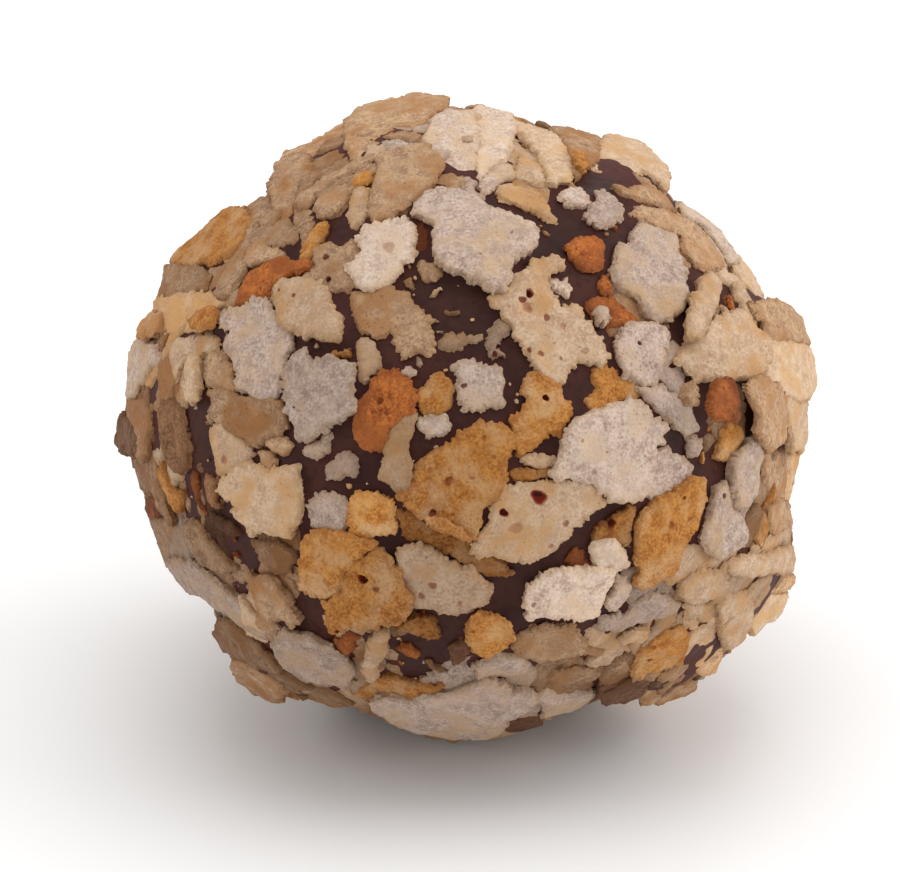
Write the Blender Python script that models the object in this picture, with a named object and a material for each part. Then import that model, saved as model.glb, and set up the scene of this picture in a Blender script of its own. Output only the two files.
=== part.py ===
"""A marzipan ball under a thin coat of dark chocolate, rolled in crushed wafer.

It is one piece of food and so one closed solid: a lumpy ball with flat wafer flakes
standing out of it, pressed to a small flat spot where it rests. +Z is up, the origin is
at the middle of the base, and every size is in metres.
"""

import math
import random

import bmesh
import bpy
from mathutils import Matrix, Vector, noise

NODE_NAME = "marzipan_ball"

# Driving dimensions: the whole ball over its flakes, and the coat of flakes on it.
WIDTH = 0.0300
DEPTH = 0.0292
HEIGHT = 0.0274
COAT = 0.0010

# The chocolate under the flakes.
LUMP = 0.00022
LUMPS_ACROSS = 3.5
ROUND_STEPS = 36
RISE_STEPS = 20

# The wafer flakes, as plates lying on the chocolate.
FLAKES = 138
FLAKE_WIDTH = (0.0021, 0.0049)
FLAKE_THICKNESS = (0.0006, 0.0010)
FLAKE_SUNK = 0.00022
FLAKE_TILT = math.radians(11)
FLAKE_CORNERS = (6, 9)
FLAKE_RAGGED = 0.24
FLAKE_STRETCH = (1.0, 1.7)
GOLDEN_ANGLE = math.pi * (3 - math.sqrt(5))

# The flat spot at the base, where the ball's own weight has pressed it.
FOOT_RADIUS = 0.0042

# Edges sharper than this stay crisp in the shading, such as a flake's rim.
CRISP_ANGLE = math.radians(30)

SEED = 11


def clear_scene():
    """Removes whatever the file holds, so that the script can be run again."""
    for obj in list(bpy.data.objects):
        bpy.data.objects.remove(obj, do_unlink=True)


def named_collection(name):
    """A new collection in the scene."""
    made = bpy.data.collections.new(name)
    bpy.context.scene.collection.children.link(made)
    return made


def wafer_over_chocolate():
    """The ball's plain finish: the toasted wafer that covers most of it."""
    made = bpy.data.materials.new("wafer_over_chocolate")
    made.use_nodes = True
    shader = made.node_tree.nodes["Principled BSDF"]
    shader.inputs["Base Color"].default_value = (0.56, 0.40, 0.25, 1.0)
    shader.inputs["Roughness"].default_value = 0.85
    shader.inputs["Metallic"].default_value = 0.0
    return made


def half_axes():
    """The chocolate's half width, half depth and half height, under the flakes."""
    return Vector((WIDTH / 2 - COAT, DEPTH / 2 - COAT, HEIGHT / 2 - COAT / 2))


def foot_height():
    """How far under the ball's centre the flat spot lies."""
    axes = half_axes()
    return axes.z * math.sqrt(1 - (FOOT_RADIUS / axes.x) ** 2)


def surface_point(direction):
    """The chocolate's surface along a direction from the centre, lumps included."""
    axes = half_axes()
    on_ellipsoid = Vector(d * a for d, a in zip(direction, axes))
    lump = noise.noise(Vector(direction) * LUMPS_ACROSS) * LUMP
    return on_ellipsoid + Vector(direction) * lump


def surface_normal(direction):
    """The way out of the ellipsoid where a direction from the centre meets it."""
    return Vector(d / a for d, a in zip(direction, half_axes())).normalized()


def object_from(mesh_builder, name, collection):
    """Turns a bmesh into a named object of a collection."""
    mesh = bpy.data.meshes.new(name)
    mesh_builder.to_mesh(mesh)
    mesh_builder.free()
    obj = bpy.data.objects.new(name, mesh)
    collection.objects.link(obj)
    return obj


def chocolate_ball(collection):
    """The lumpy ball, from a UV sphere moved out to the chocolate's surface."""
    builder = bmesh.new()
    bmesh.ops.create_uvsphere(builder, u_segments=ROUND_STEPS, v_segments=RISE_STEPS, radius=1)
    for vertex in builder.verts:
        vertex.co = surface_point(vertex.co.normalized())
    return object_from(builder, NODE_NAME, collection)


def flake_places(count):
    """Evenly spread directions over the ball, from a golden-angle spiral."""
    for index in range(count):
        height = 1 - 2 * (index + 0.5) / count
        ring = math.sqrt(1 - height * height)
        turn = index * GOLDEN_ANGLE
        yield Vector((ring * math.cos(turn), ring * math.sin(turn), height))


def wafer_flake(index, direction, chance, collection):
    """One flat flake with broken, uneven sides, leaning a little on its neighbours."""
    corners = chance.randint(*FLAKE_CORNERS)
    width = chance.uniform(*FLAKE_WIDTH)
    stretch = chance.uniform(*FLAKE_STRETCH)
    thickness = chance.uniform(*FLAKE_THICKNESS)
    builder = bmesh.new()
    bmesh.ops.create_cone(
        builder,
        cap_ends=True,
        segments=corners,
        radius1=width / 2,
        radius2=width / 2,
        depth=thickness,
    )
    shares = [chance.uniform(1 - FLAKE_RAGGED, 1 + FLAKE_RAGGED) for _ in range(corners)]
    for vertex in builder.verts:
        turn = math.atan2(vertex.co.y, vertex.co.x) / (2 * math.pi)
        share = shares[round(turn * corners) % corners]
        vertex.co.x *= share * stretch
        vertex.co.y *= share
    lean = Vector((chance.uniform(-1, 1), chance.uniform(-1, 1), 0)) * math.tan(FLAKE_TILT)
    spin = Matrix.Rotation(chance.uniform(0, 2 * math.pi), 4, "Z")
    outward = surface_normal(direction)
    turned = (outward + lean).to_track_quat("Z", "Y").to_matrix().to_4x4()
    middle = surface_point(direction) + outward * (thickness / 2 - FLAKE_SUNK)
    builder.transform(Matrix.Translation(middle) @ turned @ spin)
    return object_from(builder, f"flake_{index:03d}", collection)


def under_the_base(collection):
    """A block whose top is the flat spot, to cut away all that lies lower."""
    side = 2 * WIDTH
    builder = bmesh.new()
    bmesh.ops.create_cube(builder, size=side)
    builder.transform(Matrix.Translation((0, 0, -foot_height() - side / 2)))
    return object_from(builder, "under_the_base", collection)


def hide_helper(obj):
    """Marks an object that shapes the ball but isn't part of it."""
    obj.hide_render = True
    obj.display_type = "WIRE"


def add_boolean(obj, name, operation, collection):
    """Joins or cuts an object with everything in a collection."""
    modifier = obj.modifiers.new(name, "BOOLEAN")
    modifier.operation = operation
    modifier.operand_type = "COLLECTION"
    modifier.collection = collection
    modifier.use_self = True


def settle(obj, helpers):
    """Keeps the finished shape as the object's own mesh, and removes the helpers."""
    graph = bpy.context.evaluated_depsgraph_get()
    finished = bpy.data.meshes.new_from_object(obj.evaluated_get(graph), depsgraph=graph)
    obj.modifiers.clear()
    obj.data = finished
    for helper in helpers:
        bpy.data.objects.remove(helper, do_unlink=True)


def stand_on_origin(obj):
    """Gives the mesh its overall sizes, with the middle of its base on the origin."""
    points = [vertex.co for vertex in obj.data.vertices]
    low = Vector(min(p[axis] for p in points) for axis in range(3))
    high = Vector(max(p[axis] for p in points) for axis in range(3))
    middle = (low + high) / 2
    span = high - low
    to_size = Matrix.Diagonal((WIDTH / span.x, DEPTH / span.y, HEIGHT / span.z, 1))
    to_base = Matrix.Translation((-middle.x, -middle.y, -low.z))
    obj.data.transform(to_size @ to_base)


def shade(obj):
    """Shades the lumpy chocolate smooth and keeps the flakes' edges crisp."""
    obj.data.shade_smooth()
    obj.data.set_sharp_from_angle(angle=CRISP_ANGLE)


def main():
    """Builds the ball: chocolate, flakes, flat spot, then its place on the origin."""
    clear_scene()
    chance = random.Random(SEED)
    ball_parts = named_collection("marzipan_ball_parts")
    flakes = named_collection("flakes_to_join")
    cutters = named_collection("cutters")

    ball = chocolate_ball(ball_parts)
    for index, direction in enumerate(flake_places(FLAKES)):
        hide_helper(wafer_flake(index, direction, chance, flakes))
    hide_helper(under_the_base(cutters))

    add_boolean(ball, "join_flakes", "UNION", flakes)
    add_boolean(ball, "press_the_base", "DIFFERENCE", cutters)
    settle(ball, [*flakes.objects, *cutters.objects])
    stand_on_origin(ball)
    shade(ball)
    ball.data.materials.clear()
    ball.data.materials.append(wafer_over_chocolate())


main()
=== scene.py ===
"""Looks of a marzipan ball: a dark chocolate ball rolled in crushed, toasted wafer.

The chocolate is one smooth, lumpy core. The wafer lies on it as flat flakes with broken,
frayed sides, each settled on the chocolate and on the flakes under it, so that it looks
the same from every side. The flakes of one baking are one mesh. Lengths are in metres
unless a name says pixels or millimetres.
"""

import logging
import math
import random
from collections.abc import Iterable, Iterator, Sequence
from dataclasses import dataclass, field, replace
from enum import Enum

import bpy
import numpy as np
from bpy.types import Material, Mesh, Node, NodeSocket, NodeTree, Object
from mathutils import Matrix, Vector, noise
from mathutils.bvhtree import BVHTree
from mathutils.geometry import delaunay_2d_cdt


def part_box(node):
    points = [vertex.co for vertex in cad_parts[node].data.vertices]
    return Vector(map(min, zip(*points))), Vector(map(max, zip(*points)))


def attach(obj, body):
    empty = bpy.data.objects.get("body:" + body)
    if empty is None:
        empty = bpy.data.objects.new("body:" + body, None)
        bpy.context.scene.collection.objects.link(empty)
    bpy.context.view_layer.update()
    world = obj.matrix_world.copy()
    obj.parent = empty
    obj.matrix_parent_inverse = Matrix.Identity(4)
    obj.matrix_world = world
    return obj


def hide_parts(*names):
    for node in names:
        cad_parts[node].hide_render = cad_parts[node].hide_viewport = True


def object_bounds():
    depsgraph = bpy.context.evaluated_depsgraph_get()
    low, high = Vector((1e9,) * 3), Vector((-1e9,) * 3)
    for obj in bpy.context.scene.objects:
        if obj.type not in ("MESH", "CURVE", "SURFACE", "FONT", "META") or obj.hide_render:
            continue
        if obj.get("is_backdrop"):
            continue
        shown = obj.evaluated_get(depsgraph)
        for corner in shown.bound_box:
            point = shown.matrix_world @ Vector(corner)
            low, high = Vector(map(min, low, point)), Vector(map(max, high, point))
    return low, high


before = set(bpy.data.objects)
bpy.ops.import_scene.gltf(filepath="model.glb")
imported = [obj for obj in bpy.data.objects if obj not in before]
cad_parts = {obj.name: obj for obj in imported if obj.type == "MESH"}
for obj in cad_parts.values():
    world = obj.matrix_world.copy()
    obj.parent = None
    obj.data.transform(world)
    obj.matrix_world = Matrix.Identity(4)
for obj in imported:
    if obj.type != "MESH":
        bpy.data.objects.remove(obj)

LOG = logging.getLogger("marzipan_ball")

CAD_NODE = "marzipan_ball"
BODY = "root"
CHOCOLATE_SLOT = "dark_chocolate"

MM = 0.001
SEED = 7

Array = np.ndarray
Pair = tuple[float, float]
Pixel = Pair
Colour = tuple[float, float, float, float]
Pit = tuple[float, float, float, float]


class Kind(Enum):
    """How a flake of wafer was baked, which is also the piece it belongs to."""

    CHALK = "chalk_wafer"
    CREAM = "cream_wafer"
    BISCUIT = "biscuit_wafer"
    GOLDEN = "golden_wafer"
    RUST = "toasted_wafer"
    # Dark brown flakes; at the front they lie mostly at the left and at the base.
    SMEARED = "smeared_wafer"


CHALK, CREAM, BISCUIT, GOLDEN, RUST, SMEARED = Kind


def linear(red: int, green: int, blue: int) -> Colour:
    """Turns a screen colour of 0 to 255 into a shader's linear colour, with an alpha of 1."""
    shares = (channel / 255 for channel in (red, green, blue))
    return (*(s / 12.92 if s <= 0.04045 else ((s + 0.055) / 1.055) ** 2.4 for s in shares), 1.0)


# The front's flakes, each where the camera sees it, in pixels from the picture's upper left.


def corners(outline: Sequence[float]) -> Array:
    """The corners of an outline that is given as x and y in turn, one row for each."""
    return np.array(outline, dtype=float).reshape(-1, 2)


@dataclass(frozen=True)
class Seen:
    """One flake at the front, in pixels as the camera sees it.

    Attributes:
        kind: How it was baked.
        tone: From darker (-1) to lighter (2) than its kind: its own tone, with painted shade
        low on the ball and painted light where the light falls.
        blush: The share of its kind's second colour, 0 to 1.
        outline: The plain corners of its broken edge, x and y in turn.
        fade: How the second colour's share grows along the picture's right and up.
        lift: How far it stands off what it lies on, in millimetres.
        pits: Its pores: x, y, radius, and the share of its thickness they go through.
    """

    kind: Kind
    tone: float
    blush: float
    outline: tuple[float, ...]
    fade: Pair = (0.0, 0.0)
    lift: float = 0.0
    pits: tuple[Pit, ...] = ()

    @property
    def corners(self) -> Array:
        """The outline's corners, one row for each."""
        return corners(self.outline)


# Each flake's tone is partly its own, partly painted light and shade: darker low on the ball.
CROWN = (
    Seen(BISCUIT, 0.9, 0.6, (284, 149, 306, 146, 330, 129, 356, 104, 362, 125, 350, 142, 330, 160, 305, 176,
         288, 182, 278, 165)),
    Seen(BISCUIT, 0.8, 0.3, (345, 118, 356, 103, 376, 98, 392, 97, 405, 88, 447, 91, 442, 104, 415, 132,
         398, 130, 372, 152, 356, 160, 346, 148), fade=(0.2, -0.2)),
    Seen(BISCUIT, 0.1, 0.1, (296, 196, 357, 155, 372, 149, 376, 158, 328, 188, 312, 206, 300, 212)),
    Seen(BISCUIT, 0.1, 0.45, (270, 190, 272, 162, 283, 150, 300, 147, 312, 160, 310, 185, 299, 230, 288, 248,
         278, 240), fade=(0.5, -0.4)),
    Seen(BISCUIT, 0.2, 0.1, (313, 205, 318, 195, 343, 182, 352, 190, 349, 206, 341, 217, 330, 221, 320, 218)),
    Seen(GOLDEN, 0.6, 0.0, (350, 184, 358, 172, 368, 167, 374, 172, 375, 184, 369, 190, 358, 190)),
    Seen(CREAM, -0.1, 0.6, (352, 190, 360, 184, 369, 188, 371, 205, 369, 219, 358, 231, 350, 225, 348, 208)),
    Seen(CHALK, 1.0, 0.3, (430, 118, 447, 103, 458, 107, 474, 106, 480, 120, 480, 150, 476, 172, 464, 190,
         448, 192, 436, 184, 424, 142)),
    Seen(CHALK, 1.4, 0.15, (471, 106, 482, 98, 512, 111, 516, 125, 508, 158, 490, 178, 478, 182, 474, 165,
         479, 140), fade=(-0.4, 0.0)),
    Seen(BISCUIT, 0.3, 0.1, (373, 153, 380, 149, 424, 140, 436, 150, 442, 165, 437, 182, 412, 203, 403, 214,
         388, 220, 371, 223, 370, 200, 379, 165), fade=(0.2, -0.2)),
    Seen(CHALK, 0.5, 0.3, (492, 165, 505, 162, 514, 168, 512, 178, 500, 184, 494, 194, 484, 198, 476, 190)),
    Seen(CREAM, 0.6, 0.1, (512, 112, 546, 125, 557, 135, 566, 150, 571, 166, 572, 180, 556, 187, 546, 184,
         542, 170, 534, 155, 513, 128)),
    Seen(CREAM, 0.1, 0.4, (510, 180, 520, 154, 532, 158, 541, 168, 547, 186, 536, 191)),
    Seen(BISCUIT, 0.1, 0.5, (548, 126, 567, 123, 585, 126, 602, 137, 601, 150, 597, 160, 577, 176, 570, 166,
         566, 150)),
    Seen(GOLDEN, 0.4, 0.0, (573, 150, 582, 148, 587, 158, 588, 168, 582, 174, 575, 168)),
    Seen(CREAM, 0.3, 0.2, (601, 140, 610, 133, 625, 133, 648, 139, 655, 152, 669, 162, 671, 178, 668, 190,
         645, 173, 620, 184, 605, 182, 592, 174)),
    Seen(BISCUIT, 0.1, 0.1, (612, 184, 625, 189, 640, 185, 656, 187, 668, 195, 674, 205, 667, 211, 622, 197)),
    Seen(CREAM, 0.1, 0.5, (497, 190, 500, 183, 510, 181, 525, 184, 540, 192, 557, 225, 543, 223, 513, 206,
         501, 203), fade=(0.0, -0.5)),
    Seen(CHALK, 0.5, 0.1, (557, 199, 570, 187, 584, 185, 592, 205, 580, 211, 566, 210)),
    Seen(CHALK, -0.3, 0.0, (583, 216, 596, 198, 597, 188, 606, 188, 618, 198, 625, 212, 620, 220, 610, 227,
         598, 229, 587, 224), lift=0.15),
    Seen(BISCUIT, 1.0, 0.8, (543, 230, 548, 229, 552, 236, 550, 240, 546, 236)),
    Seen(RUST, 0.9, 0.0, (609, 227, 613, 225, 618, 228, 614, 231)),
    Seen(RUST, 0.9, 0.0, (603, 234, 607, 232, 610, 235, 606, 238)),
)

UPPER_LEFT = (
    Seen(GOLDEN, -0.1, 0.1, (163, 258, 172, 247, 228, 205, 244, 208, 252, 222, 247, 238, 232, 256, 214, 264,
         190, 268, 174, 266)),
    Seen(BISCUIT, -0.2, 0.4, (238, 206, 268, 194, 279, 202, 284, 214, 276, 228, 262, 229, 248, 222)),
    Seen(BISCUIT, -0.45, 0.3, (161, 262, 176, 266, 203, 268, 210, 277, 206, 292, 185, 302, 151, 304,
         157, 288)),
    Seen(CREAM, 0.7, 1.0, (152, 300, 170, 295, 205, 292, 217, 303, 213, 326, 195, 334, 165, 338, 133, 336,
         136, 325, 150, 315), fade=(0.4, 0.0)),
    Seen(BISCUIT, -0.1, 0.2, (212, 296, 216, 280, 228, 266, 244, 258, 252, 266, 238, 294, 226, 302)),
    Seen(BISCUIT, 1.5, 1.0, (134, 330, 141, 319, 153, 312, 164, 316, 162, 330, 150, 337, 136, 338)),
    Seen(GOLDEN, 0.2, 0.1, (188, 318, 200, 308, 214, 306, 218, 316, 214, 328, 200, 331, 190, 328)),
    Seen(RUST, 0.4, 0.1, (236, 305, 238, 288, 248, 270, 282, 256, 292, 262, 310, 262, 310, 272, 276, 285,
         272, 300)),
    Seen(GOLDEN, 0.4, 0.0, (318, 221, 326, 221, 331, 230, 308, 264, 299, 260, 304, 240), lift=0.1),
    Seen(BISCUIT, 0.3, 0.1, (240, 262, 246, 248, 257, 238, 266, 247, 284, 252, 286, 262, 250, 268)),
    Seen(BISCUIT, -0.05, 0.1, (312, 250, 318, 243, 328, 239, 340, 247, 352, 240, 362, 246, 360, 262, 352, 272,
         360, 288, 331, 298, 322, 284, 303, 278, 314, 262), pits=((326, 257, 4.5, 0.5),
         (328, 279, 3.5, 0.7))),
    Seen(RUST, -0.8, 1.0, (408, 222, 416, 216, 426, 222, 430, 236, 426, 250, 418, 256, 412, 244)),
    Seen(CHALK, 1.3, 0.0, (355, 237, 362, 226, 371, 222, 392, 219, 403, 214, 414, 231, 416, 241, 411, 250,
         414, 256, 387, 286, 370, 292, 357, 286, 344, 266, 357, 257, 360, 249), lift=0.2,
         pits=((389, 247, 7.5, 0.15),)),
    Seen(CREAM, -0.15, 0.35, (272, 283, 279, 276, 290, 278, 300, 276, 315, 281, 326, 288, 332, 296, 331, 303,
         335, 309, 344, 314, 341, 329, 342, 340, 328, 341, 315, 336, 305, 337, 276, 320), fade=(-0.5, -0.3),
         lift=0.3, pits=((293, 295, 2.5, 0.25), (278, 289, 1.8, 0.25))),
)

LEFT = (
    Seen(CHALK, 0.1, 0.4, (124, 352, 130, 342, 142, 339, 157, 344, 160, 360, 148, 376, 140, 392, 131, 399,
         122, 396)),
    Seen(BISCUIT, -0.1, 0.9, (157, 362, 168, 357, 178, 360, 181, 380, 179, 398, 172, 404, 163, 400,
         158, 384)),
    Seen(SMEARED, 0.8, 0.1, (160, 402, 172, 400, 184, 404, 194, 446, 190, 466, 178, 474, 166, 462, 158, 440,
         156, 418)),
    Seen(BISCUIT, -0.2, 0.9, (121, 402, 132, 398, 144, 399, 152, 410, 153, 430, 149, 452, 138, 459, 127, 455,
         123, 440)),
    Seen(SMEARED, -0.2, 0.0, (111, 443, 121, 412, 134, 420, 142, 436, 138, 454, 126, 456, 116, 450)),
    Seen(BISCUIT, -0.8, 0.4, (124, 455, 136, 458, 148, 456, 156, 464, 160, 480, 156, 492, 150, 498,
         137, 473)),
    Seen(RUST, -0.6, 0.8, (144, 494, 155, 490, 173, 510, 170, 520, 156, 521, 146, 518, 142, 510)),
    Seen(CREAM, -0.15, 0.4, (165, 342, 180, 337, 218, 336, 223, 343, 220, 351, 181, 368, 177, 380, 171, 374),
         fade=(0.0, -0.5)),
    Seen(GOLDEN, -0.1, 0.0, (154, 473, 158, 466, 164, 467, 177, 490, 187, 489, 184, 508, 177, 511, 168, 503),
         lift=0.15),
    Seen(RUST, -0.6, 0.9, (192, 470, 202, 474, 203, 502, 208, 516, 200, 512, 194, 500, 190, 484)),
    Seen(SMEARED, 1.5, 0.0, (205, 476, 214, 476, 222, 484, 220, 500, 226, 508, 214, 508, 206, 500)),
    Seen(BISCUIT, 0.2, 0.0, (200, 362, 208, 354, 220, 350, 228, 356, 241, 390, 232, 393, 208, 388, 203, 378),
         fade=(0.6, 0.0)),
    Seen(CREAM, 0.3, 0.1, (183, 362, 190, 356, 198, 357, 202, 386, 201, 397, 192, 404, 184, 400, 181, 389,
         184, 376), lift=0.4),
    Seen(BISCUIT, -0.25, 0.5, (205, 392, 212, 387, 225, 388, 240, 397, 262, 401, 282, 400, 288, 426, 276, 437,
         263, 442, 258, 449, 216, 422, 204, 424, 207, 412), fade=(0.3, 0.2)),
    Seen(CHALK, 0.0, 0.35, (216, 320, 219, 314, 240, 307, 250, 300, 268, 303, 276, 316, 290, 330, 293, 348,
         279, 386, 279, 399, 262, 399, 249, 394, 238, 386, 233, 364, 222, 346, 224, 334), fade=(-0.4, 0.0),
         lift=0.15, pits=((226, 332, 3, 0.8),)),
    Seen(BISCUIT, 0.5, 0.1, (262, 440, 272, 436, 284, 435, 295, 442, 293, 451, 285, 457, 266, 448)),
    Seen(BISCUIT, 0.2, 0.0, (256, 453, 262, 449, 272, 450, 280, 460, 277, 470, 264, 474)),
    Seen(CREAM, 0.0, 0.35, (206, 430, 213, 424, 221, 422, 252, 444, 256, 455, 248, 466, 222, 480, 214, 464),
         fade=(-0.7, 0.1), pits=((224, 460, 5, 0.2),)),
    Seen(CREAM, 0.3, 0.3, (244, 462, 270, 470, 296, 464, 303, 492, 297, 525, 288, 538, 274, 536, 262, 531,
         247, 536, 245, 528, 228, 512, 237, 507, 222, 502, 213, 493, 218, 480, 230, 469), lift=0.25),
)

LOWER_LEFT = (
    Seen(BISCUIT, -0.75, 0.1, (146, 520, 172, 518, 183, 526, 184, 545, 180, 565, 166, 568, 158, 560,
         155, 538)),
    Seen(BISCUIT, -0.7, 0.1, (182, 528, 190, 520, 202, 524, 228, 556, 240, 566, 228, 572, 203, 568,
         188, 554)),
    Seen(SMEARED, -0.9, 0.9, (206, 512, 240, 524, 246, 534, 232, 536, 216, 528)),
    Seen(RUST, -1.0, 0.0, (228, 534, 236, 532, 240, 540, 232, 543)),
    Seen(RUST, -0.3, 0.0, (233, 552, 239, 550, 241, 557, 235, 559)),
    Seen(BISCUIT, -1.0, 0.5, (209, 638, 222, 614, 236, 620, 273, 662, 276, 674, 213, 651)),
    Seen(BISCUIT, 0.1, 0.45, (231, 663, 242, 659, 277, 677, 286, 690, 276, 701, 252, 698, 236, 687)),
    Seen(CHALK, -0.55, 0.3, (159, 568, 176, 561, 190, 560, 208, 571, 237, 597, 268, 634, 262, 641, 203, 596,
         186, 596, 170, 582), lift=0.2),
    Seen(BISCUIT, -0.85, 0.7, (250, 545, 262, 541, 280, 540, 296, 548, 300, 560, 290, 572, 274, 574,
         258, 563)),
    Seen(BISCUIT, -0.3, 0.3, (290, 690, 306, 685, 358, 692, 371, 700, 369, 713, 352, 705, 303, 703)),
    Seen(GOLDEN, -0.35, 0.3, (350, 696, 376, 676, 392, 670, 420, 680, 445, 684, 430, 693, 408, 700,
         364, 702)),
    Seen(BISCUIT, 0.0, 0.2, (247, 571, 257, 578, 271, 572, 283, 584, 297, 608, 298, 620, 290, 627, 279, 619,
         270, 623, 258, 617), fade=(-0.5, 0.2), lift=0.2),
    Seen(RUST, 0.1, 0.5, (333, 640, 342, 633, 354, 630, 360, 634, 356, 646, 346, 658, 338, 651)),
    Seen(RUST, 1.0, 0.0, (276, 630, 281, 627, 283, 630, 278, 633)),
    Seen(CHALK, -0.55, 0.25, (275, 642, 283, 631, 297, 635, 312, 634, 320, 640, 334, 643, 353, 667, 354, 677,
         347, 688, 300, 684, 284, 672, 272, 652), lift=0.3),
    Seen(CREAM, -0.35, 0.3, (372, 631, 384, 627, 390, 633, 386, 650, 378, 668, 376, 683, 371, 686, 364, 678,
         362, 664), lift=0.5),
)

MIDDLE = (
    Seen(BISCUIT, 0.0, 0.2, (416, 270, 422, 261, 447, 266, 437, 284, 425, 283)),
    Seen(BISCUIT, -0.4, 0.5, (404, 278, 410, 277, 417, 291, 411, 292)),
    Seen(CREAM, 0.2, 0.4, (441, 284, 443, 290, 436, 296, 431, 299, 434, 291)),
    Seen(BISCUIT, -0.9, 0.0, (445, 309, 450, 312, 460, 310, 460, 315, 453, 318, 445, 313)),
    Seen(CHALK, 0.3, 0.0, (435, 320, 439, 320, 439, 323, 436, 324)),
    Seen(CHALK, -0.95, 0.0, (436, 330, 442, 330, 444, 334, 437, 335)),
    Seen(CREAM, -0.9, 0.3, (438, 348, 442, 338, 450, 332, 480, 338, 476, 345, 464, 347, 453, 353)),
    Seen(CHALK, -0.9, 0.4, (486, 350, 490, 332, 498, 322, 510, 320, 512, 330, 500, 338, 496, 350, 507, 354,
         504, 359, 494, 360), pits=((495, 354, 3, 0.5),)),
    Seen(CHALK, -0.7, 0.0, (415, 357, 420, 357, 423, 364, 420, 369, 416, 364)),
    Seen(BISCUIT, 0.15, 0.1, (348, 302, 350, 290, 360, 288, 372, 291, 389, 285, 398, 290, 405, 290, 420, 311,
         433, 320, 431, 333, 435, 342, 434, 352, 427, 357, 416, 353, 406, 359, 397, 351, 393, 342, 398, 337,
         391, 332, 380, 338, 361, 334), fade=(-0.3, 0.1)),
    Seen(CREAM, -0.35, 0.2, (355, 350, 359, 337, 370, 338, 383, 356, 380, 368, 369, 381, 359, 379),
         fade=(-0.8, 0.0)),
    Seen(CHALK, -0.35, 0.1, (279, 386, 282, 371, 297, 351, 305, 349, 306, 356, 314, 362, 330, 357, 354, 364,
         356, 372, 353, 385, 358, 398, 355, 411, 334, 421, 327, 429, 304, 440, 296, 436, 287, 416),
         fade=(-0.4, 0.2), lift=0.25, pits=((293, 407, 1.6, 0.25),)),
    Seen(GOLDEN, -0.5, 0.0, (322, 358, 351, 348, 351, 359, 340, 358, 326, 361), lift=0.15),
    Seen(CREAM, 0.1, 0.25, (489, 298, 496, 291, 507, 288, 515, 278, 544, 259, 556, 254, 566, 268, 553, 272,
         546, 280, 561, 308, 573, 303, 603, 343, 607, 355, 601, 363, 588, 364, 575, 358, 573, 367, 565, 371,
         564, 381, 550, 382, 532, 368, 527, 355, 515, 339, 508, 322), fade=(-0.2, 0.5), lift=0.15,
         pits=((530, 293, 4.5, 0.85), (523, 299, 4, 0.4), (528, 307, 5.5, 0.2), (547, 317, 3.5, 0.3),
         (563, 326, 4, 0.12), (530, 349, 3, 0.4), (541, 353, 3.5, 0.25), (561, 358, 2.5, 0.2),
         (586, 350, 4, 0.1))),
    Seen(CHALK, 0.9, 0.1, (546, 280, 556, 277, 567, 279, 571, 286, 567, 294, 558, 297, 550, 290)),
    Seen(CHALK, 0.15, 0.25, (411, 209, 427, 189, 440, 183, 474, 190, 490, 205, 522, 213, 537, 226, 539, 236,
         530, 250, 518, 260, 511, 272, 506, 288, 492, 293, 484, 285, 470, 280, 460, 271, 445, 268, 437, 258,
         432, 231, 436, 226, 426, 216), fade=(0.1, -0.3), lift=0.35, pits=((512, 231, 2.2, 0.15),
         (480, 254, 2, 0.1))),
    Seen(CHALK, -0.1, 0.05, (451, 367, 468, 358, 499, 368, 505, 378, 501, 397, 504, 404, 484, 411, 466, 409,
         457, 399, 459, 376), pits=((464, 386, 3.5, 0.4),)),
    Seen(CHALK, -0.05, 0.0, (418, 427, 420, 419, 432, 415, 444, 417, 452, 425, 450, 432, 434, 438, 422, 434)),
    Seen(RUST, 0.45, 0.2, (352, 422, 356, 402, 370, 390, 371, 380, 386, 370, 396, 368, 407, 376, 419, 398,
         414, 412, 390, 432, 382, 448, 362, 450, 356, 440), fade=(-0.4, 0.3), lift=0.1,
         pits=((380, 401, 4, 0.3),)),
    Seen(CHALK, -0.2, 0.2, (399, 372, 404, 366, 411, 366, 415, 373, 411, 380)),
    Seen(GOLDEN, 0.0, 0.15, (416, 390, 424, 388, 431, 377, 440, 371, 448, 379, 454, 393, 450, 409, 440, 413,
         424, 413, 417, 404)),
    Seen(CREAM, -0.6, 0.45, (400, 415, 410, 411, 417, 416, 416, 428, 409, 441, 407, 451, 412, 462, 413, 472,
         404, 484, 394, 488, 377, 477, 384, 458, 383, 446), fade=(0.0, 0.3)),
    Seen(CHALK, -0.25, 0.1, (302, 453, 306, 443, 320, 440, 326, 431, 333, 434, 331, 451, 321, 459, 309, 457)),
    Seen(CHALK, -0.7, 0.0, (325, 479, 326, 467, 337, 454, 350, 452, 359, 458, 361, 471, 356, 480, 348, 473,
         340, 480)),
    Seen(CHALK, -0.2, 0.15, (307, 505, 313, 497, 325, 491, 342, 493, 350, 500, 349, 520, 343, 536, 320, 531,
         309, 526)),
    Seen(GOLDEN, 1.3, 0.2, (350, 500, 357, 492, 370, 491, 386, 494, 393, 505, 399, 529, 354, 544, 346, 539),
         fade=(0.3, -0.6)),
)

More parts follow.
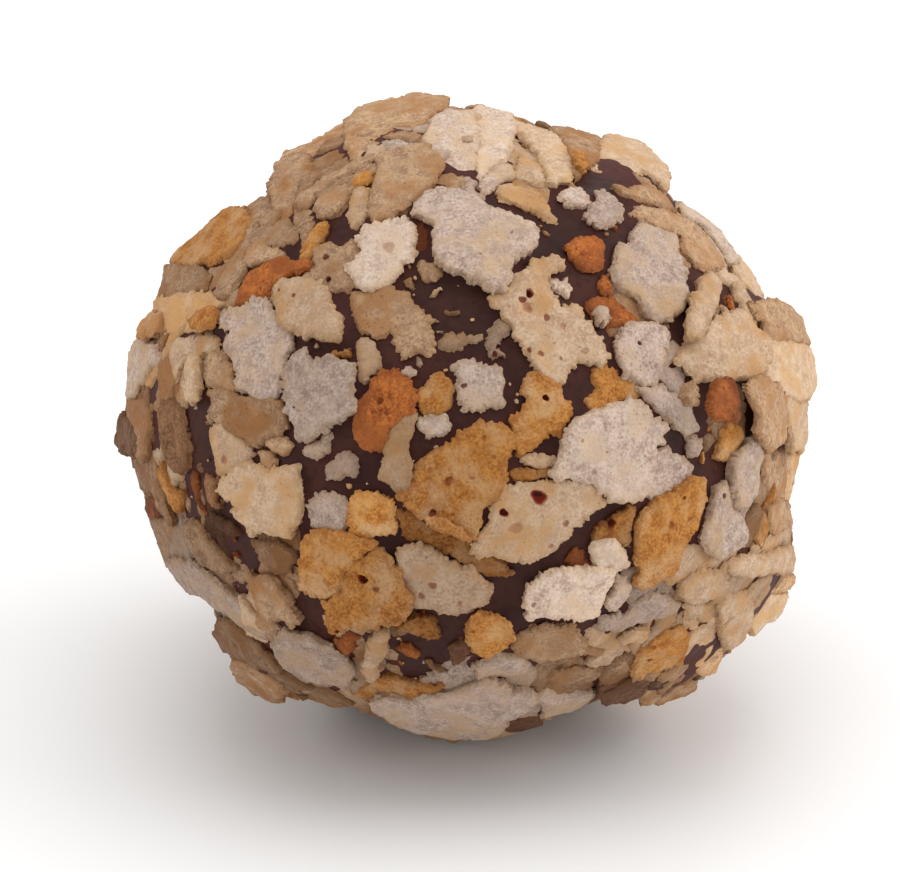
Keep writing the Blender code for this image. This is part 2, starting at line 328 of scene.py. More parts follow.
HEART = (
    Seen(GOLDEN, -0.9, 0.3, (395, 505, 470, 540, 500, 560, 512, 575, 500, 580, 482, 574, 430, 545, 405, 540)),
    Seen(GOLDEN, -0.05, 0.15, (396, 494, 413, 476, 413, 466, 462, 431, 480, 422, 500, 424, 511, 432, 514, 447,
         505, 463, 504, 484, 498, 498, 484, 507, 481, 526, 472, 540, 440, 530, 408, 511), fade=(-0.4, -0.2),
         lift=0.1, pits=((449, 481, 5, 0.3), (432, 514, 4, 0.4), (484, 438, 3, 0.25), (472, 478, 2.5, 0.15),
         (494, 457, 3, 0.1), (430, 470, 4, 0.06), (452, 515, 3, 0.15))),
    Seen(GOLDEN, 0.3, 0.7, (425, 518, 438, 517, 452, 522, 471, 541, 458, 540, 444, 531, 430, 526), lift=0.12),
    Seen(GOLDEN, -0.25, 0.0, (508, 472, 514, 467, 549, 470, 548, 478, 530, 481, 512, 480)),
    Seen(CREAM, 0.2, 0.1, (518, 458, 532, 454, 562, 458, 556, 468, 540, 469, 526, 466)),
    Seen(GOLDEN, 0.3, 0.25, (508, 416, 522, 408, 527, 401, 523, 390, 523, 380, 534, 372, 561, 386, 564, 396,
         573, 410, 561, 436, 549, 432, 546, 441, 520, 456, 512, 444), fade=(-0.2, 0.3), lift=0.1,
         pits=((546, 398, 3.6, 0.85),)),
    Seen(CREAM, 0.05, 0.3, (472, 545, 478, 532, 490, 520, 489, 508, 498, 498, 503, 488, 520, 482, 572, 480,
         590, 484, 602, 496, 602, 508, 586, 518, 573, 530, 563, 547, 525, 564, 507, 562, 495, 556, 480, 557),
         fade=(-0.4, 0.2), lift=0.1, pits=((539, 498, 8, 0.8), (504, 513, 4.5, 0.8), (516, 528, 7, 0.1),
         (489, 505, 3, 0.3), (566, 524, 3.5, 0.2), (551, 547, 3, 0.15))),
    Seen(RUST, -0.3, 0.4, (566, 552, 575, 546, 595, 568, 580, 570, 566, 565)),
    Seen(GOLDEN, 0.4, 0.0, (583, 400, 596, 390, 590, 371, 600, 365, 612, 367, 628, 380, 645, 388, 641, 398,
         620, 403, 600, 413, 588, 411), fade=(0.2, -0.8)),
    Seen(RUST, 0.5, 0.1, (563, 248, 587, 233, 598, 235, 605, 246, 603, 268, 592, 274, 580, 273, 570, 262),
         fade=(0.3, -0.6)),
    Seen(RUST, 0.1, 0.4, (584, 305, 592, 298, 612, 299, 624, 304, 638, 319, 630, 327, 605, 329, 590, 323)),
    Seen(RUST, 0.4, 0.0, (597, 290, 600, 276, 611, 273, 611, 297, 603, 300)),
    Seen(CHALK, 0.1, 0.0, (593, 312, 599, 304, 609, 306, 612, 318, 606, 326, 597, 325), lift=0.05),
    Seen(CHALK, -0.15, 0.3, (613, 280, 614, 264, 619, 250, 632, 244, 636, 228, 645, 222, 681, 235, 681, 252,
         686, 268, 685, 281, 689, 294, 684, 309, 660, 322, 641, 313, 634, 300, 622, 291), fade=(0.0, -0.4),
         lift=0.1),
    Seen(CHALK, 0.15, 0.0, (612, 346, 616, 335, 628, 326, 655, 321, 669, 326, 671, 342, 665, 358, 663, 374,
         656, 385, 640, 387, 622, 377), lift=0.15, pits=((640, 343, 2.2, 0.5),)),
    Seen(CHALK, 0.0, 0.0, (636, 387, 650, 388, 662, 385, 680, 400, 693, 404, 702, 430, 690, 436, 674, 428,
         643, 402)),
    Seen(CHALK, -0.4, 0.3, (683, 438, 694, 434, 704, 441, 705, 449, 696, 457, 684, 457)),
    Seen(CHALK, 0.1, 0.2, (645, 455, 668, 443, 673, 453, 698, 466, 692, 478, 682, 488, 668, 497, 650, 501,
         640, 495)),
    Seen(CHALK, 0.65, 0.0, (567, 431, 576, 419, 592, 411, 632, 400, 645, 406, 672, 430, 664, 438, 668, 444,
         656, 447, 658, 468, 656, 488, 646, 500, 630, 503, 612, 498, 597, 488, 575, 481, 556, 480, 551, 474,
         560, 458), lift=0.2, pits=((594, 472, 3.5, 0.1), (583, 441, 2, 0.1), (607, 452, 2, 0.1))),
    Seen(GOLDEN, -0.6, 0.1, (612, 513, 628, 504, 636, 508, 628, 546, 606, 537, 591, 543, 594, 525, 606, 520),
         pits=((612, 524, 4.5, 0.8),)),
    Seen(CHALK, 1.2, 0.0, (588, 549, 592, 541, 604, 536, 616, 539, 625, 553, 627, 568, 614, 572, 596, 568),
         lift=0.15),
    Seen(CHALK, 0.4, 0.05, (606, 598, 612, 586, 612, 573, 624, 573, 631, 583, 628, 600, 617, 612, 606, 609)),
    Seen(CHALK, 1.7, 0.0, (524, 602, 526, 590, 548, 570, 565, 566, 611, 569, 616, 575, 603, 604, 600, 619,
         582, 623, 542, 617, 530, 620), lift=0.3, pits=((534, 606, 3, 0.25),)),
)

RIGHT = (
    Seen(BISCUIT, 0.3, 0.2, (764, 322, 782, 328, 798, 350, 796, 384, 776, 392, 762, 372)),
    Seen(BISCUIT, 0.3, 0.3, (760, 450, 784, 450, 790, 478, 786, 506, 768, 502, 760, 475)),
    Seen(CREAM, 0.3, 0.1, (725, 262, 730, 250, 757, 274, 765, 297, 756, 304, 733, 280)),
    Seen(BISCUIT, 0.5, 0.15, (756, 305, 768, 300, 785, 303, 807, 316, 815, 330, 818, 342, 798, 345, 780, 341,
         768, 326), fade=(0.1, 0.2)),
    Seen(CHALK, 0.4, 0.15, (675, 199, 722, 227, 732, 250, 742, 259, 730, 264, 716, 244, 700, 228, 680, 216)),
    Seen(BISCUIT, 0.45, 0.15, (626, 213, 640, 206, 668, 209, 706, 229, 722, 250, 726, 266, 712, 271, 698, 267,
         682, 252, 680, 236, 655, 229), fade=(-0.1, 0.3), lift=0.1),
    Seen(RUST, 0.3, 0.0, (724, 311, 725, 298, 731, 294, 736, 304, 733, 313)),
    Seen(CREAM, -0.15, 0.3, (690, 341, 687, 318, 691, 297, 699, 292, 702, 276, 714, 270, 724, 276, 723, 292,
         708, 326, 700, 338), fade=(-0.5, 0.0), lift=0.5),
    Seen(CREAM, 0.6, 0.1, (768, 340, 800, 345, 818, 345, 822, 362, 819, 386, 812, 401, 796, 400, 778, 392,
         766, 380)),
    Seen(BISCUIT, 0.6, 0.2, (748, 386, 760, 379, 778, 386, 790, 398, 791, 425, 784, 446, 768, 449, 758, 436,
         756, 412)),
    Seen(CREAM, 0.2, 0.2, (784, 396, 812, 401, 808, 414, 809, 443, 802, 453, 790, 448)),
    Seen(RUST, -0.15, 0.4, (714, 381, 727, 378, 739, 384, 743, 402, 740, 416, 726, 421, 712, 417, 706, 404),
         fade=(0.5, 0.3)),
    Seen(BISCUIT, -0.3, 0.0, (680, 396, 684, 384, 694, 380, 700, 388, 698, 402, 688, 404)),
    Seen(CREAM, 0.1, 0.15, (674, 361, 680, 349, 690, 338, 718, 316, 738, 308, 749, 312, 772, 337, 774, 355,
         770, 370, 750, 378, 732, 380, 722, 377, 708, 382, 694, 377, 683, 366), fade=(0.3, -0.1), lift=0.3),
    Seen(GOLDEN, 0.6, 0.05, (711, 460, 718, 427, 728, 423, 741, 426, 746, 438, 728, 460), fade=(-0.5, 0.0)),
    Seen(GOLDEN, 1.8, 0.0, (697, 463, 701, 452, 707, 457, 706, 465)),
    Seen(GOLDEN, -0.4, 0.0, (704, 430, 709, 426, 714, 428, 708, 431)),
    Seen(RUST, 0.3, 0.0, (713, 469, 716, 467, 717, 471)),
    Seen(RUST, 0.3, 0.0, (720, 474, 723, 472, 723, 476)),
    Seen(BISCUIT, 1.6, 0.1, (766, 456, 782, 450, 805, 456, 799, 466, 789, 504, 778, 498)),
    Seen(BISCUIT, 0.35, 0.15, (768, 508, 778, 498, 789, 506, 797, 545, 784, 549, 772, 540, 768, 524)),
    Seen(GOLDEN, -0.4, 0.3, (752, 538, 755, 516, 768, 480, 775, 490, 770, 512, 770, 534, 762, 549, 755, 548)),
    Seen(CHALK, -0.2, 0.25, (728, 488, 728, 468, 733, 453, 748, 440, 758, 438, 763, 452, 761, 494, 748, 508,
         734, 507), lift=0.35),
    Seen(CHALK, -0.15, 0.25, (700, 540, 713, 487, 722, 483, 729, 492, 732, 507, 743, 513, 751, 533, 749, 545,
         718, 560, 706, 552), fade=(-0.5, 0.0), lift=0.2, pits=((725, 496, 3, 0.5),)),
    Seen(CREAM, 0.0, 0.15, (728, 562, 745, 554, 796, 548, 800, 562, 797, 576, 770, 574, 745, 577, 728, 572)),
    Seen(BISCUIT, 1.6, 0.15, (738, 578, 762, 573, 799, 579, 801, 587, 792, 593, 768, 594, 748, 590)),
    Seen(CREAM, -0.2, 0.25, (677, 596, 679, 583, 690, 573, 706, 568, 722, 572, 729, 583, 722, 597, 706, 604,
         690, 604), lift=0.15),
    Seen(CREAM, 0.3, 0.4, (697, 564, 702, 560, 707, 563, 703, 569, 698, 568)),
    Seen(GOLDEN, 0.2, 0.1, (637, 586, 639, 570, 635, 556, 636, 522, 645, 508, 680, 491, 694, 480, 708, 480,
         710, 498, 699, 531, 688, 545, 680, 573, 650, 589), fade=(0.1, -0.4), lift=0.2,
         pits=((686, 499, 2.5, 0.4), (671, 525, 4, 0.2), (690, 519, 3, 0.1))),
)

FOOT = (
    Seen(SMEARED, -0.2, 0.4, (597, 692, 604, 683, 620, 681, 646, 684, 646, 698, 630, 704, 604, 702)),
    Seen(BISCUIT, 0.4, 0.35, (640, 704, 644, 688, 658, 680, 684, 680, 698, 685, 699, 693, 686, 700,
         660, 704)),
    Seen(BISCUIT, 2.0, 0.2, (692, 660, 693, 640, 702, 626, 716, 629, 723, 645, 724, 662, 721, 677, 708, 680,
         697, 672)),
    Seen(CREAM, 1.0, 0.2, (748, 592, 765, 591, 785, 594, 791, 600, 784, 621, 765, 623, 752, 638, 746, 620)),
    Seen(CREAM, -0.1, 0.35, (715, 606, 724, 595, 742, 591, 752, 600, 754, 620, 748, 642, 740, 648, 728, 650,
         720, 636), lift=0.1),
    Seen(CREAM, 0.6, 0.4, (705, 618, 711, 611, 718, 616, 716, 624, 709, 626)),
    Seen(GOLDEN, 0.1, 0.0, (634, 668, 637, 648, 648, 637, 664, 628, 682, 627, 690, 638, 683, 666, 664, 671,
         650, 680, 638, 678), fade=(-0.4, -0.2), pits=((650, 661, 3, 0.3), (654, 648, 3, 0.2))),
    Seen(CHALK, -0.5, 0.1, (594, 626, 604, 615, 624, 611, 634, 598, 650, 591, 666, 594, 682, 605, 678, 614,
         655, 622, 606, 631)),
    Seen(CREAM, 0.0, 0.4, (619, 643, 623, 631, 634, 626, 646, 628, 648, 638, 644, 645), lift=0.2),
    Seen(CHALK, -0.2, 0.3, (536, 690, 546, 685, 560, 690, 590, 689, 596, 698, 574, 714, 543, 722, 544, 706)),
    Seen(SMEARED, -0.1, 0.7, (505, 720, 512, 714, 530, 710, 545, 712, 543, 724, 508, 735)),
    Seen(BISCUIT, -0.5, 0.3, (548, 676, 550, 667, 560, 664, 600, 667, 605, 674, 596, 682, 575, 684,
         556, 682)),
    Seen(BISCUIT, -0.35, 0.3, (607, 664, 614, 656, 625, 657, 631, 668, 622, 675, 611, 672)),
    Seen(BISCUIT, -0.25, 0.15, (512, 642, 520, 631, 545, 622, 572, 625, 584, 636, 590, 647, 604, 652,
         604, 661, 572, 656, 556, 658, 540, 665, 514, 650)),
    Seen(CHALK, -0.35, 0.15, (471, 665, 480, 658, 500, 652, 522, 655, 531, 664, 528, 674, 496, 681,
         480, 675)),
    Seen(GOLDEN, 0.6, 0.0, (467, 632, 471, 613, 482, 609, 508, 624, 513, 638, 505, 650, 489, 660, 474, 655,
         469, 645), fade=(0.2, -0.4), lift=0.3, pits=((473, 632, 3, 0.2),)),
    Seen(CHALK, -0.3, 0.1, (372, 712, 378, 704, 394, 697, 412, 702, 424, 694, 464, 688, 482, 681, 498, 683,
         514, 693, 532, 698, 537, 705, 522, 716, 506, 722, 504, 735, 492, 744, 462, 747, 404, 737, 375, 719),
         fade=(0.0, -0.5), lift=0.2),
    Seen(GOLDEN, -0.8, 0.3, (395, 630, 406, 617, 420, 609, 432, 614, 438, 630, 436, 641, 416, 638),
         pits=((420, 616, 3.5, 0.7),)),
    Seen(RUST, -0.3, 0.0, (397, 648, 404, 640, 413, 641, 421, 655, 416, 662)),
    Seen(RUST, 0.0, 0.0, (399, 658, 404, 662, 403, 668, 399, 667)),
    Seen(BISCUIT, -0.95, 0.6, (426, 658, 431, 656, 433, 663, 449, 674, 438, 674, 430, 666)),
    Seen(SMEARED, 0.0, 0.9, (449, 648, 456, 638, 467, 635, 470, 648, 462, 664, 452, 668)),
    Seen(GOLDEN, 0.25, 0.2, (296, 566, 303, 541, 316, 531, 340, 531, 374, 541, 374, 551, 349, 567, 336, 597,
         318, 600, 303, 594, 297, 586, 301, 577), fade=(0.3, -0.8), lift=0.2),
    Seen(GOLDEN, -0.15, 0.3, (320, 604, 330, 600, 341, 590, 340, 577, 362, 556, 376, 549, 390, 558, 411, 600,
         407, 616, 393, 627, 345, 630, 330, 637, 325, 624, 327, 612), fade=(0.5, 0.0),
         pits=((362, 580, 5.2, 0.85), (375, 590, 3.5, 0.25), (335, 633, 2.6, 0.6))),
    Seen(CREAM, -0.4, 0.2, (397, 553, 406, 545, 424, 543, 457, 564, 472, 565, 480, 580, 493, 586, 489, 604,
         470, 613, 450, 618, 414, 607, 404, 590), fade=(0.2, 0.2), lift=0.2, pits=((433, 585, 4.5, 0.3),
         (421, 596, 3.8, 0.25), (426, 558, 2.5, 0.12), (460, 603, 3, 0.1))),
)

# The outer edge of the whole ball: no flake that isn't seen at the front stands out of it.
SILHOUETTE = (
    163, 256, 160, 280, 149, 305, 153, 311, 140, 319, 132, 332, 133, 338, 124, 352, 123, 395, 120, 415,
    111, 442, 114, 448, 130, 462, 145, 492, 142, 510, 157, 550, 162, 572, 185, 596, 200, 594, 219, 612,
    209, 638, 230, 660, 234, 682, 252, 698, 275, 701, 315, 705, 372, 712, 392, 732, 440, 745, 492, 744,
    515, 734, 560, 720, 600, 703, 640, 705, 690, 698, 721, 677, 726, 662, 748, 645, 757, 630, 785, 621,
    788, 608, 801, 586, 799, 558, 790, 505, 803, 462, 809, 440, 807, 425, 817, 395, 822, 362, 807, 316,
    780, 301, 763, 292, 740, 258, 706, 220, 674, 200, 669, 162, 650, 139, 603, 135, 567, 123, 512, 111,
    482, 98, 447, 103, 447, 91, 425, 89, 405, 88, 376, 98, 356, 103, 330, 129, 306, 146, 284, 149,
    271, 175, 268, 194, 238, 206, 228, 205, 192, 232,
)

# Dark clefts between the flakes: no flake that isn't seen at the front reaches into them.
CLEFTS = (
    (186, 404, 204, 398, 204, 424, 190, 432),
    (192, 446, 206, 440, 216, 472, 208, 474),
    (186, 478, 190, 476, 198, 500, 192, 500),
    (222, 506, 246, 508, 244, 534, 262, 560, 256, 570, 232, 548),
    (152, 380, 157, 380, 159, 440, 155, 440),
    (364, 160, 369, 158, 376, 180, 370, 182),
    (318, 222, 334, 220, 340, 236, 330, 240),
    (484, 182, 492, 178, 494, 188, 486, 190),
    (420, 226, 432, 224, 434, 262, 428, 262),
    (690, 276, 700, 268, 698, 288, 692, 292),
    (716, 296, 724, 286, 742, 306, 736, 311),
    (692, 456, 712, 450, 716, 480, 702, 482),
    (700, 402, 705, 400, 707, 422, 703, 422),
    (606, 166, 618, 172, 612, 182, 604, 176),
    (396, 640, 430, 636, 446, 660, 420, 676, 404, 668),
    (300, 602, 316, 604, 326, 634, 306, 632),
)

# Where the chocolate shows at the front, roughly: no small flakes are added there.
BARE_PATCH = (
    340, 215, 350, 195, 420, 205, 480, 190, 540, 190, 556, 175, 600, 180, 640, 200, 640, 235, 618, 250,
    615, 300, 640, 320, 668, 320, 690, 318, 690, 345, 672, 362, 665, 385, 708, 352, 722, 380, 710, 400,
    705, 430, 712, 480, 690, 560, 640, 590, 600, 640, 520, 625, 510, 655, 465, 665, 430, 655, 440, 612,
    395, 620, 320, 606, 296, 640, 275, 622, 300, 600, 290, 545, 305, 470, 250, 460, 205, 425, 185, 430,
    182, 402, 205, 390, 215, 330, 270, 270, 310, 215,
)

FRONT = (*UPPER_LEFT[:9], *CROWN, *UPPER_LEFT[9:], *LEFT, *LOWER_LEFT, *MIDDLE, *HEART, *RIGHT, *FOOT)


# The camera, and the places its pixels stand for.


@dataclass(frozen=True)
class Lookout:
    """The camera: it looks along +Y and a little down.

    Attributes:
        ball_centre: The middle of the ball.
        elevation: How far it stands above the ball, as an angle.
        distance: How far it stands from what it looks at.
        ball_pixel: Where the ball's middle lies in the picture.
        picture: The picture's width and height in pixels.
        pixels_per_mm: The picture's scale at the ball.
        sensor: The camera's sensor width in millimetres.
        nearest: How far off the camera starts to see.
    """

    ball_centre: Vector
    elevation: float = math.radians(25)
    distance: float = 0.200
    ball_pixel: Pixel = (466, 417)
    picture: tuple[int, int] = (900, 872)
    pixels_per_mm: float = 23.6
    sensor: float = 36.0
    nearest: float = 0.010

    @property
    def back(self) -> Vector:
        """The direction from the ball to the camera."""
        return Vector((0, -math.cos(self.elevation), math.sin(self.elevation)))

    @property
    def right(self) -> Vector:
        """The picture's right in space."""
        return Vector((1, 0, 0))

    @property
    def up(self) -> Vector:
        """The picture's up in space."""
        return self.back.cross(self.right)

    @property
    def focal_pixels(self) -> float:
        """The distance from the lens to the picture, in pixels."""
        return self.pixels_per_mm * self.distance / MM

    def shift(self, pixel: Pixel) -> Vector:
        """How far a pixel lies from the picture's middle, in space and at the ball."""
        across = (pixel[0] - self.picture[0] / 2) / self.pixels_per_mm * MM
        down = (pixel[1] - self.picture[1] / 2) / self.pixels_per_mm * MM
        return self.right * across - self.up * down

    @property
    def place(self) -> Vector:
        """Where the camera stands."""
        return self.ball_centre - self.shift(self.ball_pixel) + self.back * self.distance

    def ray(self, pixel: Pixel) -> Vector:
        """The direction in which a pixel looks."""
        return (self.shift(pixel) - self.back * self.distance).normalized()

    def on_plane(self, pixel: Pixel, point: Vector, normal: Vector) -> Vector:
        """Finds where a pixel meets the plane that goes through a point, square to a normal."""
        ray = self.ray(pixel)
        return self.place + ray * ((point - self.place).dot(normal) / ray.dot(normal))

    def pixel(self, point: Vector) -> Pixel:
        """The pixel at which a point shows."""
        away = point - self.place
        scale = self.focal_pixels / -away.dot(self.back)
        return (self.picture[0] / 2 + away.dot(self.right) * scale,
                self.picture[1] / 2 - away.dot(self.up) * scale)

    def set_up(self) -> None:
        """Adds the camera and makes it the scene's."""
        facing = self.back.to_track_quat("Z", "Y").to_euler()
        bpy.ops.object.camera_add(location=self.place, rotation=facing)
        camera = bpy.context.object
        camera.name = "lookout"
        camera.data.sensor_width = self.sensor
        camera.data.lens = self.focal_pixels * self.sensor / self.picture[0]
        camera.data.clip_start = self.nearest
        bpy.context.scene.camera = camera


# Shared helpers for meshes.


def select_only(obj: Object) -> None:
    """Selects one object and makes it the active one."""
    bpy.ops.object.select_all(action="DESELECT")
    obj.select_set(True)
    bpy.context.view_layer.objects.active = obj


def get_values(mesh: Mesh, name: str) -> Array:
    """Reads a point attribute of a mesh, one row for each point."""
    layer = mesh.attributes[name]
    key, width = ("vector", 3) if layer.data_type == "FLOAT_VECTOR" else ("value", 1)
    values = np.empty(len(mesh.vertices) * width, dtype=np.float32)
    layer.data.foreach_get(key, values)
    return values.reshape(-1, width) if width > 1 else values


def set_values(mesh: Mesh, name: str, values: Array) -> None:
    """Writes a point attribute of a mesh, and makes it where it is missing."""
    kind, key = ("FLOAT_VECTOR", "vector") if values.ndim == 2 else ("FLOAT", "value")
    layer = mesh.attributes.get(name) or mesh.attributes.new(name, kind, "POINT")
    layer.data.foreach_set(key, np.ascontiguousarray(values, dtype=np.float32).ravel())


def get_places(mesh: Mesh) -> Array:
    """Reads the places of a mesh's points."""
    places = np.empty(len(mesh.vertices) * 3, dtype=np.float32)
    mesh.vertices.foreach_get("co", places)
    return places.reshape(-1, 3).astype(np.float64)


def set_places(mesh: Mesh, places: Array) -> None:
    """Writes the places of a mesh's points."""
    mesh.vertices.foreach_set("co", places.astype(np.float32).ravel())
    mesh.update()


def joined(parts: Iterable[tuple[Sequence, Sequence]]) -> tuple[list, list[list[int]]]:
    """Puts the points and faces of several meshes together, as those of one."""
    points: list = []
    faces: list[list[int]] = []
    for more, sides in parts:
        faces += [[len(points) + i for i in side] for side in sides]
        points.extend(more)
    return points, faces


def new_object(name: str, points: Sequence, faces: Sequence[Sequence[int]]) -> Object:
    """Makes an object of given points and faces."""
    mesh = bpy.data.meshes.new(name)
    mesh.from_pydata(points, [], faces)
    obj = bpy.data.objects.new(name, mesh)
    bpy.context.collection.objects.link(obj)
    return obj


def roughen(obj: Object, name: str, grain: float, strength: float) -> None:
    """Pushes a mesh's surface in and out by a cloudy pattern.

    Args:
        obj: The object, which is selected and active.
        name: What the roughness is called.
        grain: The size of the pattern's clouds.
        strength: The way from the lowest point to the highest.
    """
    clouds = bpy.data.textures.new(name, "CLOUDS")
    clouds.noise_scale = grain
    clouds.noise_depth = 1
    modifier = obj.modifiers.new(name, "DISPLACE")
    modifier.texture = clouds
    modifier.texture_coords = "LOCAL"
    modifier.strength = strength
    modifier.mid_level = 0.5
    bpy.ops.object.modifier_apply(modifier=modifier.name)


def polygon_area(points: Array) -> float:
    """The area inside an outline, positive if it runs anticlockwise."""
    following = np.roll(points, -1, axis=0)
    return float(np.sum(points[:, 0] * following[:, 1] - following[:, 0] * points[:, 1]) / 2)


def inside(points: Array, outline: Array) -> Array:
    """Tells which points lie inside an outline."""
    x, y = points[:, 0, None], points[:, 1, None]
    x1, y1 = outline[:, 0], outline[:, 1]
    x2, y2 = np.roll(x1, -1), np.roll(y1, -1)
    rise = np.where(y2 == y1, 1e-12, y2 - y1)
    crosses = ((y1 > y) != (y2 > y)) & (x < (x2 - x1) * (y - y1) / rise + x1)
    return crosses.sum(axis=1) % 2 == 1


def distance_to(points: Array, others: Array) -> Array:
    """The distance from each point to the nearest of some others."""
    if not len(points):
        return np.zeros(0)
    gaps = points[:, None, :] - others[None, :, :]
    return np.sqrt((gaps**2).sum(axis=2)).min(axis=1)


# Flakes: their seat on the ball, and the mesh of one broken plate.


# The spacing of points along a broken edge, in millimetres: at the front, between the
# front's flakes, and where the camera never looks.
FINE_EDGE = (0.075, 0.16)
COARSE_EDGE = 0.22


@dataclass
class Plate:
    """A flake in its place. Its own sizes are in millimetres, along its own axes.

    Attributes:
        kind: How it was baked.
        origin: The point of its underside that its axes start from.
        axes: Its two flat axes and its outward one, as a matrix's columns.
        outline: The corners of its upper side.
        thickness: How thick it is.
        tone: From darker (-1) to lighter (2) than its kind: its own tone, with painted shade
        and painted light.
        blush: The share of its kind's second colour.
        fade: How that share grows along its two flat axes, over the flake.
        pits: Its pores, each as x, y, radius and depth.
        fine: The spacing of the points along its broken edge.
    """

    kind: Kind
    origin: Vector
    axes: Matrix
    outline: Array
    thickness: float
    tone: float
    blush: float
    fade: Pair
    pits: list[Pit]
    fine: float

    @property
    def area(self) -> float:
        """The area inside its outline, in square millimetres."""
        return abs(polygon_area(self.outline))

    def world(self, points: Array) -> Array:
        """Turns points along its own axes, in millimetres, into places in space."""
        return np.array(self.origin) + (points * MM) @ np.array(self.axes).T

    def ring(self, height: float, grown: float = 1.0) -> Array:
        """The outline's corners in space, at a height in millimetres over the underside."""
        return self.world(np.column_stack((self.outline * grown, np.full(len(self.outline), height))))

    def solid(self) -> tuple[list[Vector], list[list[int]]]:
        """The plain plate, as points and faces, for other flakes to rest on."""
        count = len(self.outline)
        points = [Vector(p) for p in np.vstack((self.ring(self.thickness), self.ring(0.0)))]
        sides = [[i, i + count, (i + 1) % count + count, (i + 1) % count] for i in range(count)]
        return points, [list(range(count)), list(range(2 * count - 1, count - 1, -1)), *sides]


@dataclass
class Sheet:
    """The upper side of a flake as a flat mesh, with what each of its points carries."""

    places: Array
    faces: list[list[int]]
    values: dict[str, Array]


